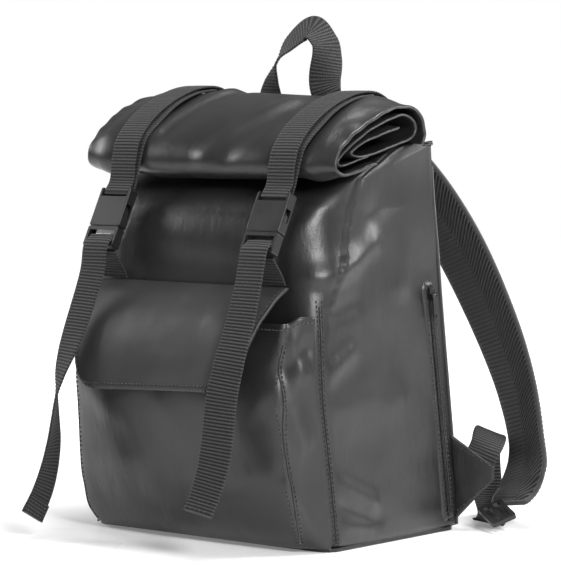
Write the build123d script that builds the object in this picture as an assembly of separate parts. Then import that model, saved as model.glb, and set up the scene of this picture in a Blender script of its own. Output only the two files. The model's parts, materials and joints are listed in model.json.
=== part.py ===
from build123d import *
import math
import os

# Roll-top leather backpack, standing on its base. Millimetres.
# +X is the wearer's right, the front faces -Y, the back faces +Y and +Z is up.
# The origin is the middle of the underside of the base.

# ---- overall sizes ---------------------------------------------------------
BODY_WIDTH = 282.0          # main bag across its widest part
BODY_FRONT = 86.0           # from the origin forward to the front panel at the base
BODY_BACK = 102.0           # from the origin back to the back panel at the base
BODY_HEIGHT = 350.0         # base to the top of the back panel, where the neck starts

# ---- shape of the main bag: (height share, width change, front change, back change)
BODY_RINGS = [
    (0.00, 0.0, 0.0, 0.0),
    (0.20, -2.0, 8.0, -6.0),
    (0.40, -5.0, 18.0, -14.0),
    (0.65, -13.0, 15.0, -21.0),
    (0.82, -18.0, 4.0, -25.0),
    (0.90, -22.0, -14.0, -26.7),
    (1.00, -24.0, -40.0, -28.0),
]
FRONT_PANEL_SHARE = 0.90    # the front panel's top, as a share of the back panel's
FRONT_CROWN = 5.0           # how far the front panel bulges at its middle
SIDE_CROWN = 4.0            # how far a side panel bulges at its middle
BASE_CORNER = 14.0
MIN_RING_STEP = 4.5         # heights closer than this to another one are left out of a panel

# ---- materials -------------------------------------------------------------
LEATHER = 2.4
LINING = 0.9
BACK_FOAM = 8.0
FOAM_INSET = 8.0            # from the back panel's edges
SEAM_GAP = 0.6              # space between two sewn pieces, where the seam allowance lies
SOFT_GAP = 1.2              # space between soft pieces that only lie on each other
BASE_THICKNESS = 3.2
BOARD_THICKNESS = 2.0
BOARD_INSET = 4.0           # from the lining's corners
LINING_DROP = 6.0           # the lining ends this far below the front panel's top
SLEEVE_DEPTH = 20.0         # room behind the laptop sleeve
SLEEVE_HEIGHT = 235.0
SLEEVE_INSET = 6.0          # from the lining's sides

# ---- front pocket and its flap ---------------------------------------------
POCKET_WIDTH = 256.0
POCKET_HEIGHT = 200.0
POCKET_DEPTH = 24.0         # at the lower corners, grows upwards
POCKET_LIFT = 3.0           # the pocket starts this far above the base panel
GUSSET_INSET = 1.0          # the gusset's seam from the bag's corner
POCKET_RINGS = [            # (height share, width change, corner depth change, crown)
    (0.00, 0.0, -3.0, 4.0),
    (0.35, -8.0, 4.0, 16.0),
    (0.68, -14.0, 1.0, 21.0),
    (0.86, -13.0, -2.0, 8.0),
    (1.00, -12.0, -5.0, -4.0),
]
FLAP_SEAM_Z = 228.0
FLAP_TOP_WIDTH = 224.0
FLAP_BOTTOM_WIDTH = 184.0
FLAP_THICKNESS = 3.0
# the flap's profile from its seam, (forward, up)
FLAP_PATH = [(0.0, 0.0), (17.0, -9.0), (35.0, -28.0), (49.0, -55.0), (58.0, -87.0)]

# ---- the bag that the routes below were drawn for; they move with its sides, front, back and top
DRAWN_HALF_WIDTH = 141.0
DRAWN_FRONT = 86.0
DRAWN_BACK = 102.0
DRAWN_HEIGHT = 350.0

# ---- rolled neck -------------------------------------------------------------
ROLL_WIDTH = 300.0
ROLL_WALL = 4.0
ROLL_CORE_WALL = 3.0
ROLL_CORE_INSET = 4.0       # the inner turn is this much shorter at each end
NECK_THICKNESS = 3.0
# the outer turn of the roll in (y, z), from the back over the top and in under the nose
ROLL_PATH = [
    (38.0, 364.0), (41.0, 377.0), (34.0, 389.0), (16.0, 396.0), (-8.0, 393.0), (-38.0, 383.0),
    (-64.0, 368.0), (-82.0, 350.0), (-85.0, 338.0), (-76.0, 328.0), (-58.0, 331.0), (-36.0, 338.0),
]
ROLL_CORE_PATH = [
    (26.0, 366.0), (33.0, 376.0), (28.0, 384.0), (12.0, 388.5), (-10.0, 385.5), (-38.0, 375.0),
    (-60.0, 361.0), (-75.0, 347.0), (-76.5, 340.0), (-66.0, 336.5), (-40.0, 344.5), (-10.0, 354.0),
]
NECK_FRONT_PATH = [(-67.0, 320.5), (-30.0, 330.0), (30.0, 350.0), (52.0, 354.0)]
NECK_BACK_PATH = [(71.0, 353.0), (62.0, 360.5), (53.0, 366.5), (48.0, 371.0)]

# ---- webbing and buckles -----------------------------------------------------
WEBBING_WIDTH = 30.0
WEBBING = 1.8
STRAP_X = 94.0              # middle of each closing strap from the middle of the bag
# a closing strap in (y, z), from its seam on the back panel over the roll to the buckle
STRAP_PATH = [
    (78.0, 318.0), (78.0, 348.0), (67.0, 371.0), (48.0, 388.0), (31.0, 398.5), (14.0, 402.5),
    (-11.0, 400.0), (-41.0, 390.0), (-68.5, 374.5), (-88.5, 354.5), (-93.5, 338.0),
]
LAYER_GAP = 0.5             # between two layers of webbing that are sewn together
STRAP_FOLD_POINTS = 6       # points of the strap's path that the folded back layer follows
# the tail over the plug: (from the plug's end, height above its face)
TAIL_START = [(-3.5, 1.3), (0.0, 1.5), (5.0, 1.0)]
# a strap's free end on +X and on -X: (aside from the strap, y, z, degrees that it is turned about Z)
TAIL_RIGHT = [
    (0.0, -139.0, 236.0, 0.0), (0.0, -150.0, 203.0, 5.0), (-0.5, -161.0, 176.0, 9.0),
    (-1.5, -166.5, 158.0, 12.0), (-3.0, -171.0, 138.0, 14.0), (-6.0, -174.0, 98.0, 14.0),
    (-8.5, -177.0, 76.0, 12.0), (-11.0, -183.0, 57.0, 10.0), (-13.0, -191.0, 41.0, 8.0),
]
TAIL_LEFT = [
    (0.0, -138.0, 236.0, 0.0), (-2.5, -156.0, 190.0, -4.0), (-4.5, -165.0, 168.0, -14.0),
    (-7.5, -171.0, 148.0, -30.0), (-10.5, -173.0, 127.0, -48.0), (-13.0, -172.5, 104.0, -60.0),
    (-15.5, -172.0, 84.0, -70.0), (-18.0, -175.0, 62.0, -78.0), (-20.0, -182.0, 41.0, -84.0),
    (-23.0, -193.0, 20.0, -88.0),
]
BUCKLE_TOP = (-100.0, 312.0)   # (y, z) of the buckle's upper end
BUCKLE_TILT = 27.0          # degrees that the buckle leans out from the vertical
TAIL_DRAWN_FROM = (-126.33, 260.32)   # (y, z) of the plug's end that the tails were drawn for
TAIL_POCKET_DEPTH = 24.0    # and the depth of the pocket
BUCKLE_SIDE = 2.7           # the buckle's wall beside its webbing slots
BUCKLE_THICKNESS = 10.0
BUCKLE_WALL = 1.8
BUCKLE_CORNER = 4.0
WEBBING_SIDE_GAP = 0.8      # beside the webbing in every slot
WEBBING_WRAP_GAP = 0.3      # between the sewn strap and the bar it goes round
LAYERS_MEET = 9.0           # the strap's two layers lie together this far above the buckle
ANCHOR_SEAM = 7.0           # the lower strap's seam above the flap's
ANCHOR_TURN = (5.0, 7.0)    # from there the strap turns out and up, (forward, up)
ANCHOR_EDGE = 0.5           # how far past the slot's edge the strap bends
WRAP_FIRST = 76.0           # degrees round the plug's bar where the tail's turn starts
WRAP_STEP = 26.0
WRAP_POINTS = 5
SOCKET_LENGTH = 38.0
SOCKET_BAR = 2.0            # radius of the bar that the strap is sewn round
SOCKET_BAR_AT = 2.6         # middle of the bar, from the buckle's upper end
SOCKET_SLOT = 8.6           # lower end of its slot, from the buckle's upper end
SOCKET_FLOOR = 12.0         # inner end of the socket
BAR_RADIUS = 1.6
BAR_BURIED = 0.6            # a bar's end inside the buckle's side
BAR_FIT = 0.05
PLUG_GAP = 0.4              # between the socket's mouth and the plug's shoulder
PLUG_SLOT_PAST = (4.0, 16.5)   # the plug's webbing slot, from the socket's mouth
PLUG_BAR_PAST = 10.5        # middle of its bar, from the socket's mouth
PLUG_PAST = 20.0            # length of the plug outside the socket
PLUG_THICKNESS = 9.0
PRONG_FROM_SIDE = 5.5       # middle of each prong from the buckle's side
PRONG_WIDTH = 2.8
PRONG_THICKNESS = 4.6
PRONG_ROOT_INSIDE = 1.0     # a prong bends this far inside the socket's mouth
PRONG_TIP = 15.6
PRONG_CHAMFER = 1.0
BARB_SLOPE = 6.0            # from the prong's tip to the barb's full width
KNUCKLE_LENGTH = 0.3        # the plug's body round a prong's root starts this far before it
PRONG_FIT = 0.08            # round the prong's root
WINDOW = (15.0, 27.0)       # the socket's side windows, from the buckle's upper end
WINDOW_EDGE_GAP = 0.4       # between the barb and the window's lower edge
BARB_INSET = 0.5            # the barb stays this far inside the buckle's side
GUIDE_WIDTH = 6.0
GUIDE_THICKNESS = 3.6
GUIDE_START = 2.0           # behind the prongs' tips

# ---- side zip ------------------------------------------------------------------
ZIP_TOP = (60.0, 218.0)     # (y, z) of the slider when the zip is closed
ZIP_BOTTOM = (84.0, 12.0)
ZIP_STAND_OFF = 2.2         # middle of the tape above the side panel's face at its ends
ZIP_TAPE_WIDTH = 11.0
ZIP_TAPE = 0.8
ZIP_TAPE_SPARE = 6.0        # tape beyond the teeth at each end
TEETH_WIDTH = 3.4
TEETH_HEIGHT = 1.2
TEETH_GAP = 0.02            # between the teeth and their tape
STOP_LENGTH = 2.0
STOP_EXTRA = (1.0, 0.6)     # a stop is this much wider and higher than the teeth
SLIDER_LENGTH = 9.0
SLIDER_WIDTH = 7.0
SLIDER_HEIGHT = 3.4
SLIDER_CORNER = 1.5
SLIDER_CLEAR = 0.25         # between the slider and what it runs on
LUG_HEIGHT = 2.6
LUG_WALL = 1.2
LUG_LENGTH = 3.0
LUG_HALF = 2.6              # half the room between the two lugs
PIN_RADIUS = 0.7
PIN_FIT = 0.06
PIN_LIFT = 0.1              # the pin's middle above the lugs' middle
PULLER_LENGTH = 22.0
PULLER_WIDTH = 5.0
PULLER_THICKNESS = 1.2
PULLER_CORNER = 2.2
PULLER_RIM = 1.1
PULLER_SLOPE = 2.0          # degrees
EYE_EXTRA = 0.5             # the puller is this much thicker round its pin, on each side

# ---- grab handle -----------------------------------------------------------------
# the handle from its end on -X to its end on +X: middle of the webbing, and its width's direction
HANDLE_LINE = [
    ((-37.0, 50.0, 378.0), (1.00, 0.00, 0.00)),
    ((-37.0, 46.0, 396.0), (1.00, -0.10, 0.00)),
    ((-36.0, 46.0, 412.0), (0.90, -0.44, 0.00)),
    ((-32.0, 49.0, 430.0), (0.64, -0.77, 0.00)),
    ((-21.0, 54.0, 447.0), (0.70, -0.60, -0.40)),
    ((0.0, 59.0, 461.0), (0.36, -0.57, -0.74)),
    ((16.0, 60.0, 449.0), (-0.10, -0.90, -0.42)),
    ((22.0, 57.0, 434.0), (-0.42, -0.90, -0.10)),
    ((25.0, 50.0, 412.0), (-0.85, -0.40, 0.10)),
    ((32.0, 46.0, 396.0), (-1.00, -0.10, 0.00)),
    ((36.0, 50.0, 376.0), (-1.00, 0.00, 0.00)),
]
HANDLE_WEBBING = 2.0
HANDLE_PATCH = (112.0, 34.0, 1.6)   # width, height and thickness of the patch that it is sewn to
PATCH_DROP = 2.0            # the patch's top below the back panel's

# ---- shoulder straps ---------------------------------------------------------------
PAD_WIDTH = 64.0
PAD_THICKNESS = 9.0
PAD_EDGE = 0.45             # thickness share at its two bound edges
# middle line of the strap on +X, and the way its width points there
PAD_LINE = [
    ((57.0, 98.0, 350.0), (1.00, 0.00, 0.00)),
    ((65.0, 113.0, 337.0), (1.00, 0.00, 0.00)),
    ((82.0, 133.0, 304.0), (1.00, -0.02, 0.00)),
    ((103.0, 151.0, 260.0), (0.99, -0.08, 0.00)),
    ((122.0, 165.0, 212.0), (0.98, -0.16, 0.00)),
    ((141.0, 175.0, 160.0), (0.95, -0.26, 0.00)),
    ((155.0, 180.0, 112.0), (0.90, -0.38, 0.00)),
    ((166.0, 176.0, 68.0), (0.86, -0.48, -0.08)),
    ((172.0, 158.0, 38.0), (0.84, -0.50, -0.16)),
    ((175.0, 134.0, 22.0), (0.82, -0.50, -0.24)),
]
YOKE_PATH = [(80.0, 326.0), (79.5, 346.0), (83.5, 353.0)]   # (y, z) of the flat piece above it
YOKE_STRAP_GAP = 3.0        # between the yoke and the closing strap beside it
YOKE_WIDTH = 50.0
YOKE_THICKNESS = 3.0
WING_ROOT = (8.0, 88.0)     # lowest and highest z where the wing is sewn in
WING_TIP = (180.0, 104.0, 54.0)
WING_TIP_HEIGHT = 10.0
WING_THICKNESS = 3.0
WING_INSET = 4.0            # its seam in front of the back panel's face
# the adjusting webbing from behind the wing, up and round behind the strap to its lock
ADJUSTER_LINE = [
    ((158.0, 105.0, 58.0), (0.60, 0.10, -0.79)),
    ((161.0, 119.0, 77.0), (0.75, -0.10, -0.60)),
    ((152.0, 139.0, 86.0), (0.85, 0.20, -0.40)),
    ((133.0, 162.0, 82.0), (0.80, 0.55, -0.20)),
    ((114.0, 184.0, 66.0), (0.45, 0.85, 0.00)),
    ((108.0, 193.0, 43.0), (0.45, 0.85, 0.00)),
    ((115.0, 187.0, 20.0), (0.60, 0.75, 0.00)),
    ((134.0, 168.0, 8.0), (0.80, 0.60, 0.00)),
    ((152.0, 140.0, 6.0), (0.90, 0.30, 0.00)),
    ((164.0, 118.0, 6.5), (0.86, -0.45, -0.08)),
]
LOCK_AT = ((178.0, 112.0, 16.5), (0.82, -0.50, -0.24), (-0.24, -0.85, -0.42))
LOCK_SIDE = 3.2             # the lock's frame beside its webbing slots
LOCK_DRAWN_HALF = 19.0      # half width of the lock that its place was drawn for
LOCK_CLEAR = 0.4            # a wider lock lies this share of its extra half width further out
LOCK_LENGTH = 24.0
LOCK_THICKNESS = 4.0
LOCK_BAR = 4.0
LOCK_CORNER = 3.0
RIBBON_FLAT = 0.38          # share of a strip's width from its middle that is at full thickness


# ---- helpers -------------------------------------------------------------------------
def mix(a, b, t):
    return a + (b - a) * t


def placed(x, y, z):
    """A point of a route, moved with the bag's side, its front or back and its top."""
    wider = (BODY_WIDTH / 2 - DRAWN_HALF_WIDTH) * min(abs(x) / DRAWN_HALF_WIDTH, 1)
    if y > 0:
        deeper = (BODY_BACK - DRAWN_BACK) * min(y / DRAWN_BACK, 1)
    else:
        deeper = (BODY_FRONT - DRAWN_FRONT) * min(-y / DRAWN_FRONT, 1)
    higher = (BODY_HEIGHT - DRAWN_HEIGHT) * min(z / DRAWN_HEIGHT, 1)
    outward = 1 if x >= 0 else -1
    backward = 1 if y > 0 else -1
    return x + outward * wider, y + backward * deeper, z + higher


def placed_path(path):
    return [placed(0, y, z)[1:] for y, z in path]


def placed_line(line):
    return [(placed(*middle), across) for middle, across in line]


def ring_at(rings, share):
    """The rings' values at a share of the height, on straight lines between rings."""
    share = min(max(share, rings[0][0]), rings[-1][0])
    for low, high in zip(rings, rings[1:]):
        if share <= high[0]:
            t = (share - low[0]) / (high[0] - low[0])
            return [mix(a, b, t) for a, b in zip(low[1:], high[1:])]
    return list(rings[-1][1:])


def polyhedron(points, faces):
    """A closed solid with flat triangular faces."""
    triangles = []
    for face in faces:
        for i in range(1, len(face) - 1):
            corners = [points[face[0]], points[face[i]], points[face[i + 1]]]
            triangles.append(Face(Wire.make_polygon([Vector(*c) for c in corners])))
    return Solid(Shell(triangles))


def slab(outer, inner):
    """A solid between two grids of points of the same size."""
    rows, columns = len(outer), len(outer[0])
    points = [p for row in outer for p in row] + [p for row in inner for p in row]
    count = rows * columns

    def at(i, j):
        return i * columns + j

    faces = []
    for i in range(rows - 1):
        for j in range(columns - 1):
            quad = [at(i, j), at(i, j + 1), at(i + 1, j + 1), at(i + 1, j)]
            faces.append(quad)
            faces.append([count + k for k in reversed(quad)])
    rim = [at(0, j) for j in range(columns)]
    rim += [at(i, columns - 1) for i in range(1, rows)]
    rim += [at(rows - 1, j) for j in range(columns - 2, -1, -1)]
    rim += [at(i, 0) for i in range(rows - 2, 0, -1)]
    for a, b in zip(rim, rim[1:] + rim[:1]):
        faces.append([b, a, count + a, count + b])
    return polyhedron(points, faces)


def pushed(grid, way):
    """The grid moved by a fixed vector."""
    return [[tuple(c + d for c, d in zip(p, way)) for p in row] for row in grid]


def band(path, width, thickness, x=0.0):
    """Webbing or sheet that follows a path of (y, z) points, with its width along X."""
    sides = []
    for i, (y, z) in enumerate(path):
        before = path[max(i - 1, 0)]
        after = path[min(i + 1, len(path) - 1)]
        here = Vector(y, z, 0)
        a = (here - Vector(*before, 0)).normalized() if i else None
        b = (Vector(*after, 0) - here).normalized() if i < len(path) - 1 else None
        a, b = a or b, b or a
        along = (a + b).normalized()
        half = thickness / 2 / max(along.dot(a), 0.5)
        sides.append((y - along.Y * half, z + along.X * half, y + along.Y * half, z - along.X * half))
    grids = [
        [[(x + side * width / 2, s[k], s[k + 1]) for side in (-1, 1)] for s in sides]
        for k in (0, 2)
    ]
    return slab(*grids)


def mirrored(shape):
    return shape.mirror(Plane.YZ)


def save(name, *solids):
    os.makedirs("parts", exist_ok=True)
    shape = solids[0] if len(solids) == 1 else Compound(children=list(solids))
    shape.label = name
    export_step(shape, f"parts/{name}.step")


def pair(name, solid):
    """The piece on +X, and its mirror image on -X."""
    save(f"{name}_right", solid)
    save(f"{name}_left", mirrored(solid))


# ---- main bag ----------------------------------------------------------------------------
RING_HEIGHTS = [share * BODY_HEIGHT for share, *_ in BODY_RINGS]


def body_at(z):
    """Half width, front y and back y of the bag's corners at height z."""
    width, front, back = ring_at(BODY_RINGS, z / BODY_HEIGHT)
    return (BODY_WIDTH + width) / 2, -(BODY_FRONT + front), BODY_BACK + back


def crown(t):
    """0 at both edges and 1 in the middle."""
    return 1 - (2 * t - 1) ** 2


def front_y(x, z):
    """The front panel's outer face."""
    half, front, _ = body_at(z)
    return front - FRONT_CROWN * crown(min(max((x + half) / (2 * half), 0), 1))


def heights(low, high, rings):
    inner = [z for z in rings if low + MIN_RING_STEP < z < high - MIN_RING_STEP]
    return [low] + inner + [high]


COLUMNS = [0.0, 0.12, 0.3, 0.5, 0.7, 0.88, 1.0]


def panel_across(low, high, inset, y_of):
    """A grid across the bag: y_of(x, z) gives the face, inset keeps it off the corners."""
    grid = []
    for z in heights(low, high, RING_HEIGHTS):
        half = body_at(z)[0] - inset
        grid.append([(mix(-half, half, t), y_of(mix(-half, half, t), z), z) for t in COLUMNS])
    return grid


def side_x(y, z):
    """The right side panel's outer face."""
    half, front, back = body_at(z)
    return half + SIDE_CROWN * crown((y - front) / (back - front))


def panel_along(low, high, front_inset, back_inset, inward, back_high=None):
    """A grid along the right side of the bag; its top may rise towards the back."""
    grid = []
    levels = [(z, z) for z in heights(low, high, RING_HEIGHTS)]
    levels[-1] = (high, back_high or high)
    for z_front, z_back in levels:
        row = []
        for t in COLUMNS:
            z = mix(z_front, z_back, t)
            y = mix(body_at(z)[1] + front_inset, body_at(z)[2] - back_inset, t)
            row.append((side_x(y, z) - inward, y, z))
        grid.append(row)
    return grid


PANEL_FOOT = BASE_THICKNESS + SEAM_GAP
FRONT_TOP = FRONT_PANEL_SHARE * BODY_HEIGHT
BACK_SKIN = LEATHER + BACK_FOAM + 2 * SEAM_GAP + LEATHER


def make_body():
    front = panel_across(PANEL_FOOT, FRONT_TOP, 0.0, front_y)
    save("front_panel", slab(front, pushed(front, (0, LEATHER, 0))))

    back = panel_across(PANEL_FOOT, BODY_HEIGHT, 0.0, lambda x, z: body_at(z)[2])
    save("back_panel", slab(back, pushed(back, (0, -LEATHER, 0))))

    foam = panel_across(PANEL_FOOT + FOAM_INSET, BODY_HEIGHT - FOAM_INSET, FOAM_INSET,
                        lambda x, z: body_at(z)[2] - LEATHER - SEAM_GAP)
    save("back_foam", slab(foam, pushed(foam, (0, -BACK_FOAM, 0))))

    sewn_in = LEATHER + SEAM_GAP
    side = panel_along(PANEL_FOOT, FRONT_TOP, sewn_in, sewn_in, 0.0, BODY_HEIGHT)
    pair("side_panel", slab(side, pushed(side, (-LEATHER, 0, 0))))

    half, front_edge, back_edge = body_at(0)
    base = Box(2 * half, back_edge - front_edge, BASE_THICKNESS,
               align=(Align.CENTER, Align.MIN, Align.MIN))
    corners = base.edges().filter_by(Axis.Z)
    base = fillet(corners, BASE_CORNER).moved(Location((0, front_edge, 0)))
    save("base_panel", base)


LINING_OFFSET = LEATHER + SOFT_GAP
LINING_FOOT = PANEL_FOOT + BOARD_THICKNESS + 2 * SEAM_GAP
LINING_TOP = FRONT_TOP - LINING_DROP


def make_lining():
    corner = LINING_OFFSET + LINING + SEAM_GAP
    front = panel_across(LINING_FOOT, LINING_TOP, corner,
                         lambda x, z: body_at(z)[1] + LINING_OFFSET)
    back = panel_across(LINING_FOOT, LINING_TOP, corner,
                        lambda x, z: body_at(z)[2] - BACK_SKIN)
    side = panel_along(LINING_FOOT, LINING_TOP, LINING_OFFSET, BACK_SKIN, LINING_OFFSET)
    right = slab(side, pushed(side, (-LINING, 0, 0)))
    half, front_edge, back_edge = body_at(LINING_FOOT)
    floor_depth = back_edge - BACK_SKIN - front_edge - LINING_OFFSET
    bottom = Box(2 * (half - corner), floor_depth - 2 * (LINING + SEAM_GAP), LINING,
                 align=(Align.CENTER, Align.MIN, Align.MIN))
    bottom = bottom.moved(Location((0, front_edge + corner, LINING_FOOT)))
    save("lining", slab(front, pushed(front, (0, LINING, 0))),
         slab(back, pushed(back, (0, -LINING, 0))), right, mirrored(right), bottom)

    board_inset = corner + BOARD_INSET
    board = Box(2 * (half - board_inset), floor_depth - 2 * BOARD_INSET, BOARD_THICKNESS,
                align=(Align.CENTER, Align.MIN, Align.MIN))
    save("base_board", board.moved(Location((0, front_edge + corner, PANEL_FOOT))))

    sleeve_inset = corner + LINING + SLEEVE_INSET
    sleeve_back = BACK_SKIN + LINING + SLEEVE_DEPTH
    sleeve = panel_across(LINING_FOOT + LINING + SEAM_GAP, SLEEVE_HEIGHT, sleeve_inset,
                          lambda x, z: body_at(z)[2] - sleeve_back)
    save("laptop_sleeve", slab(sleeve, pushed(sleeve, (0, -LINING, 0))))


# ---- front pocket -----------------------------------------------------------------------
POCKET_FOOT = BASE_THICKNESS + POCKET_LIFT


def pocket_at(z):
    """Half width, corner y and crown of the pocket's front at height z."""
    width, deeper, bulge = ring_at(POCKET_RINGS, (z - POCKET_FOOT) / (POCKET_HEIGHT - POCKET_FOOT))
    front = body_at(z)[1]
    return (POCKET_WIDTH + width) / 2, front - POCKET_DEPTH - deeper, bulge


def pocket_heights():
    span = POCKET_HEIGHT - POCKET_FOOT
    own = [POCKET_FOOT + share * span for share, *_ in POCKET_RINGS]
    extra = [z for z in RING_HEIGHTS if POCKET_FOOT < z < POCKET_HEIGHT]
    return sorted(own + [z for z in extra if min(abs(z - o) for o in own) > MIN_RING_STEP])


def make_pocket():
    front = []
    for z in pocket_heights():
        half, corner, bulge = pocket_at(z)
        front.append([(mix(-half, half, t), corner - bulge * crown(t), z) for t in COLUMNS])
    save("pocket_front", slab(front, pushed(front, (0, LEATHER, 0))))

    gusset = []
    for z in pocket_heights():
        half, corner, _ = pocket_at(z)
        body_half, body_front, _ = body_at(z)
        start = (half - LEATHER, corner + LEATHER + SEAM_GAP)
        end = (body_half - GUSSET_INSET, body_front - SEAM_GAP)
        gusset.append([(mix(start[0], end[0], t), mix(start[1], end[1], t), z)
                       for t in (0.0, 0.5, 1.0)])
    pair("pocket_gusset", slab(gusset, pushed(gusset, (-LEATHER, 0, 0))))

    half, corner, _ = pocket_at(POCKET_FOOT)
    lower = POCKET_FOOT - SEAM_GAP
    back = front_y(0, POCKET_FOOT) - SEAM_GAP
    bottom = Polygon((-half, corner), (half, corner), (half, back), (-half, back), align=None)
    save("pocket_bottom", extrude(bottom, LEATHER).moved(Location((0, 0, lower - LEATHER))))


def flap_hinge():
    return front_y(0, FLAP_SEAM_Z) - SOFT_GAP - FLAP_THICKNESS / 2, FLAP_SEAM_Z


def make_flap():
    y0, z0 = flap_hinge()
    length = FLAP_PATH[-1][0]
    rows = []
    for forward, up in FLAP_PATH:
        half = mix(FLAP_TOP_WIDTH, FLAP_BOTTOM_WIDTH, forward / length) / 2
        rows.append([(mix(-half, half, t), y0 - forward, z0 + up) for t in COLUMNS])
    outer = []
    inner = []
    for i, row in enumerate(rows):
        below = FLAP_PATH[max(i - 1, 0)]
        above = FLAP_PATH[min(i + 1, len(FLAP_PATH) - 1)]
        way = Vector(above[0] - below[0], above[1] - below[1], 0).normalized()
        shift = (0, way.Y * FLAP_THICKNESS / 2, way.X * FLAP_THICKNESS / 2)
        outer += pushed([row], shift)
        inner += pushed([row], tuple(-s for s in shift))
    save("flap", slab(outer, inner))


# ---- rolled neck ---------------------------------------------------------------------------
def make_roll():
    save("roll_outer", band(placed_path(ROLL_PATH), ROLL_WIDTH, ROLL_WALL))
    core_width = ROLL_WIDTH - 2 * ROLL_CORE_INSET
    save("roll_core", band(placed_path(ROLL_CORE_PATH), core_width, ROLL_CORE_WALL))
    width = 2 * (body_at(BODY_HEIGHT)[0] - LEATHER - SEAM_GAP)
    save("neck_front", band(placed_path(NECK_FRONT_PATH), width, NECK_THICKNESS))
    save("neck_back", band(placed_path(NECK_BACK_PATH), width, NECK_THICKNESS))


# ---- buckles: s runs down the buckle from its upper end, n points out of its face ----------
TILT = math.radians(BUCKLE_TILT)
SLOT_HALF = WEBBING_WIDTH / 2 + WEBBING_SIDE_GAP
LAYER_SPACING = WEBBING + LAYER_GAP
BUCKLE_WIDTH = 2 * (SLOT_HALF + BUCKLE_SIDE)
PRONG_X = BUCKLE_WIDTH / 2 - PRONG_FROM_SIDE
PRONG_ROOT = SOCKET_LENGTH - PRONG_ROOT_INSIDE
PLUG_SLOT = [SOCKET_LENGTH + past for past in PLUG_SLOT_PAST]
PLUG_BAR = SOCKET_LENGTH + PLUG_BAR_PAST
PLUG_END = SOCKET_LENGTH + PLUG_PAST
DOWN = (-math.sin(TILT), -math.cos(TILT))
OUT = (-math.cos(TILT), math.sin(TILT))


def buckle_yz(s, n):
    _, y, z = placed(0, *BUCKLE_TOP)
    return (y + s * DOWN[0] + n * OUT[0], z + s * DOWN[1] + n * OUT[1])


def buckle_place(x):
    """The buckle's frame: its local x is X, local -y runs down it and local z points out."""
    y, z = buckle_yz(0, 0)
    return Plane(origin=(x, y, z), x_dir=(1, 0, 0), z_dir=(0, *OUT)).location


def block(x, s, n):
    """A box in the buckle's frame from three (low, high) ranges."""
    size = [high - low for low, high in (x, s, n)]
    middle = [(high + low) / 2 for low, high in (x, s, n)]
    return Box(*size).moved(Location((middle[0], -middle[1], middle[2])))


def bar(radius, s):
    """A bar across a slot, buried in the buckle's sides."""
    length = 2 * (SLOT_HALF + BAR_BURIED)
    return Cylinder(radius, length, rotation=(0, 90, 0)).moved(Location((0, -s, 0)))


def both(low_high):
    return (-low_high, low_high)


def make_socket():
    half = BUCKLE_WIDTH / 2
    deep = BUCKLE_THICKNESS / 2
    shell = block(both(half), (0, SOCKET_LENGTH), both(deep))
    shell = fillet(shell.edges().filter_by(Axis.Z), BUCKLE_CORNER / 2)
    shell = fillet(shell.faces().sort_by(Axis.Z)[-1].edges(), BUCKLE_WALL / 2)
    cavity = block(both(half - BUCKLE_WALL), (SOCKET_FLOOR, SOCKET_LENGTH + 1),
                   both(deep - BUCKLE_WALL))
    windows = block(both(half + 1), WINDOW, both(deep - BUCKLE_WALL))
    slot = block(both(SLOT_HALF), (-1, SOCKET_SLOT), both(deep + 1))
    return shell - cavity - windows - slot + bar(SOCKET_BAR, SOCKET_BAR_AT)


def prong_root_hole(side):
    root = Cylinder(PRONG_WIDTH / 2 + PRONG_FIT, BUCKLE_THICKNESS)
    return root.moved(Location((side * PRONG_X, -PRONG_ROOT, 0)))


def make_plug():
    half = BUCKLE_WIDTH / 2
    shoulder = SOCKET_LENGTH + PLUG_GAP
    inner_half = half - BUCKLE_WALL - WINDOW_EDGE_GAP
    body = block(both(half), (shoulder, PLUG_END), both(PLUG_THICKNESS / 2))
    body = fillet(body.edges().filter_by(Axis.Z), BUCKLE_CORNER / 2)
    slot = block(both(SLOT_HALF), PLUG_SLOT, both(PLUG_THICKNESS))
    guide = block(both(GUIDE_WIDTH / 2), (PRONG_TIP + GUIDE_START, shoulder + 1),
                  both(GUIDE_THICKNESS / 2))
    plug = body - slot + guide + bar(BAR_RADIUS, PLUG_BAR)
    for side in (-1, 1):
        low, high = sorted((side * (PRONG_X - PRONG_WIDTH), side * inner_half))
        knuckle = block((low, high), (PRONG_ROOT - KNUCKLE_LENGTH, shoulder + 1),
                        both(PRONG_THICKNESS / 2))
        plug = plug + knuckle - prong_root_hole(side)
    return plug


def make_prong(side):
    """A springy arm whose barb stands in the socket's side window."""
    x_in = PRONG_X - PRONG_WIDTH / 2
    x_out = PRONG_X + PRONG_WIDTH / 2
    barb_out = BUCKLE_WIDTH / 2 - BARB_INSET
    barb_low = WINDOW[1] - WINDOW_EDGE_GAP
    outline = [
        (x_in, -PRONG_ROOT), (x_in, -PRONG_TIP - PRONG_CHAMFER),
        (x_in + PRONG_CHAMFER, -PRONG_TIP), (x_out, -PRONG_TIP),
        (barb_out, -PRONG_TIP - BARB_SLOPE), (barb_out, -barb_low),
        (x_out, -barb_low), (x_out, -PRONG_ROOT),
    ]
    arm = extrude(Polygon(*outline, align=None), PRONG_THICKNESS / 2, both=True)
    root = Cylinder(PRONG_WIDTH / 2, PRONG_THICKNESS).moved(Location((PRONG_X, -PRONG_ROOT, 0)))
    prong = arm + root
    return prong if side > 0 else prong.mirror(Plane.YZ)


def parallel(path, gap):
    """The path moved sideways by gap, to the inner side of a strap."""
    moved = []
    for i, (y, z) in enumerate(path):
        a, b = path[max(i - 1, 0)], path[min(i + 1, len(path) - 1)]
        along = Vector(b[0] - a[0], b[1] - a[1], 0).normalized()
        moved.append((y + along.Y * gap, z - along.X * gap))
    return moved


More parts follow.
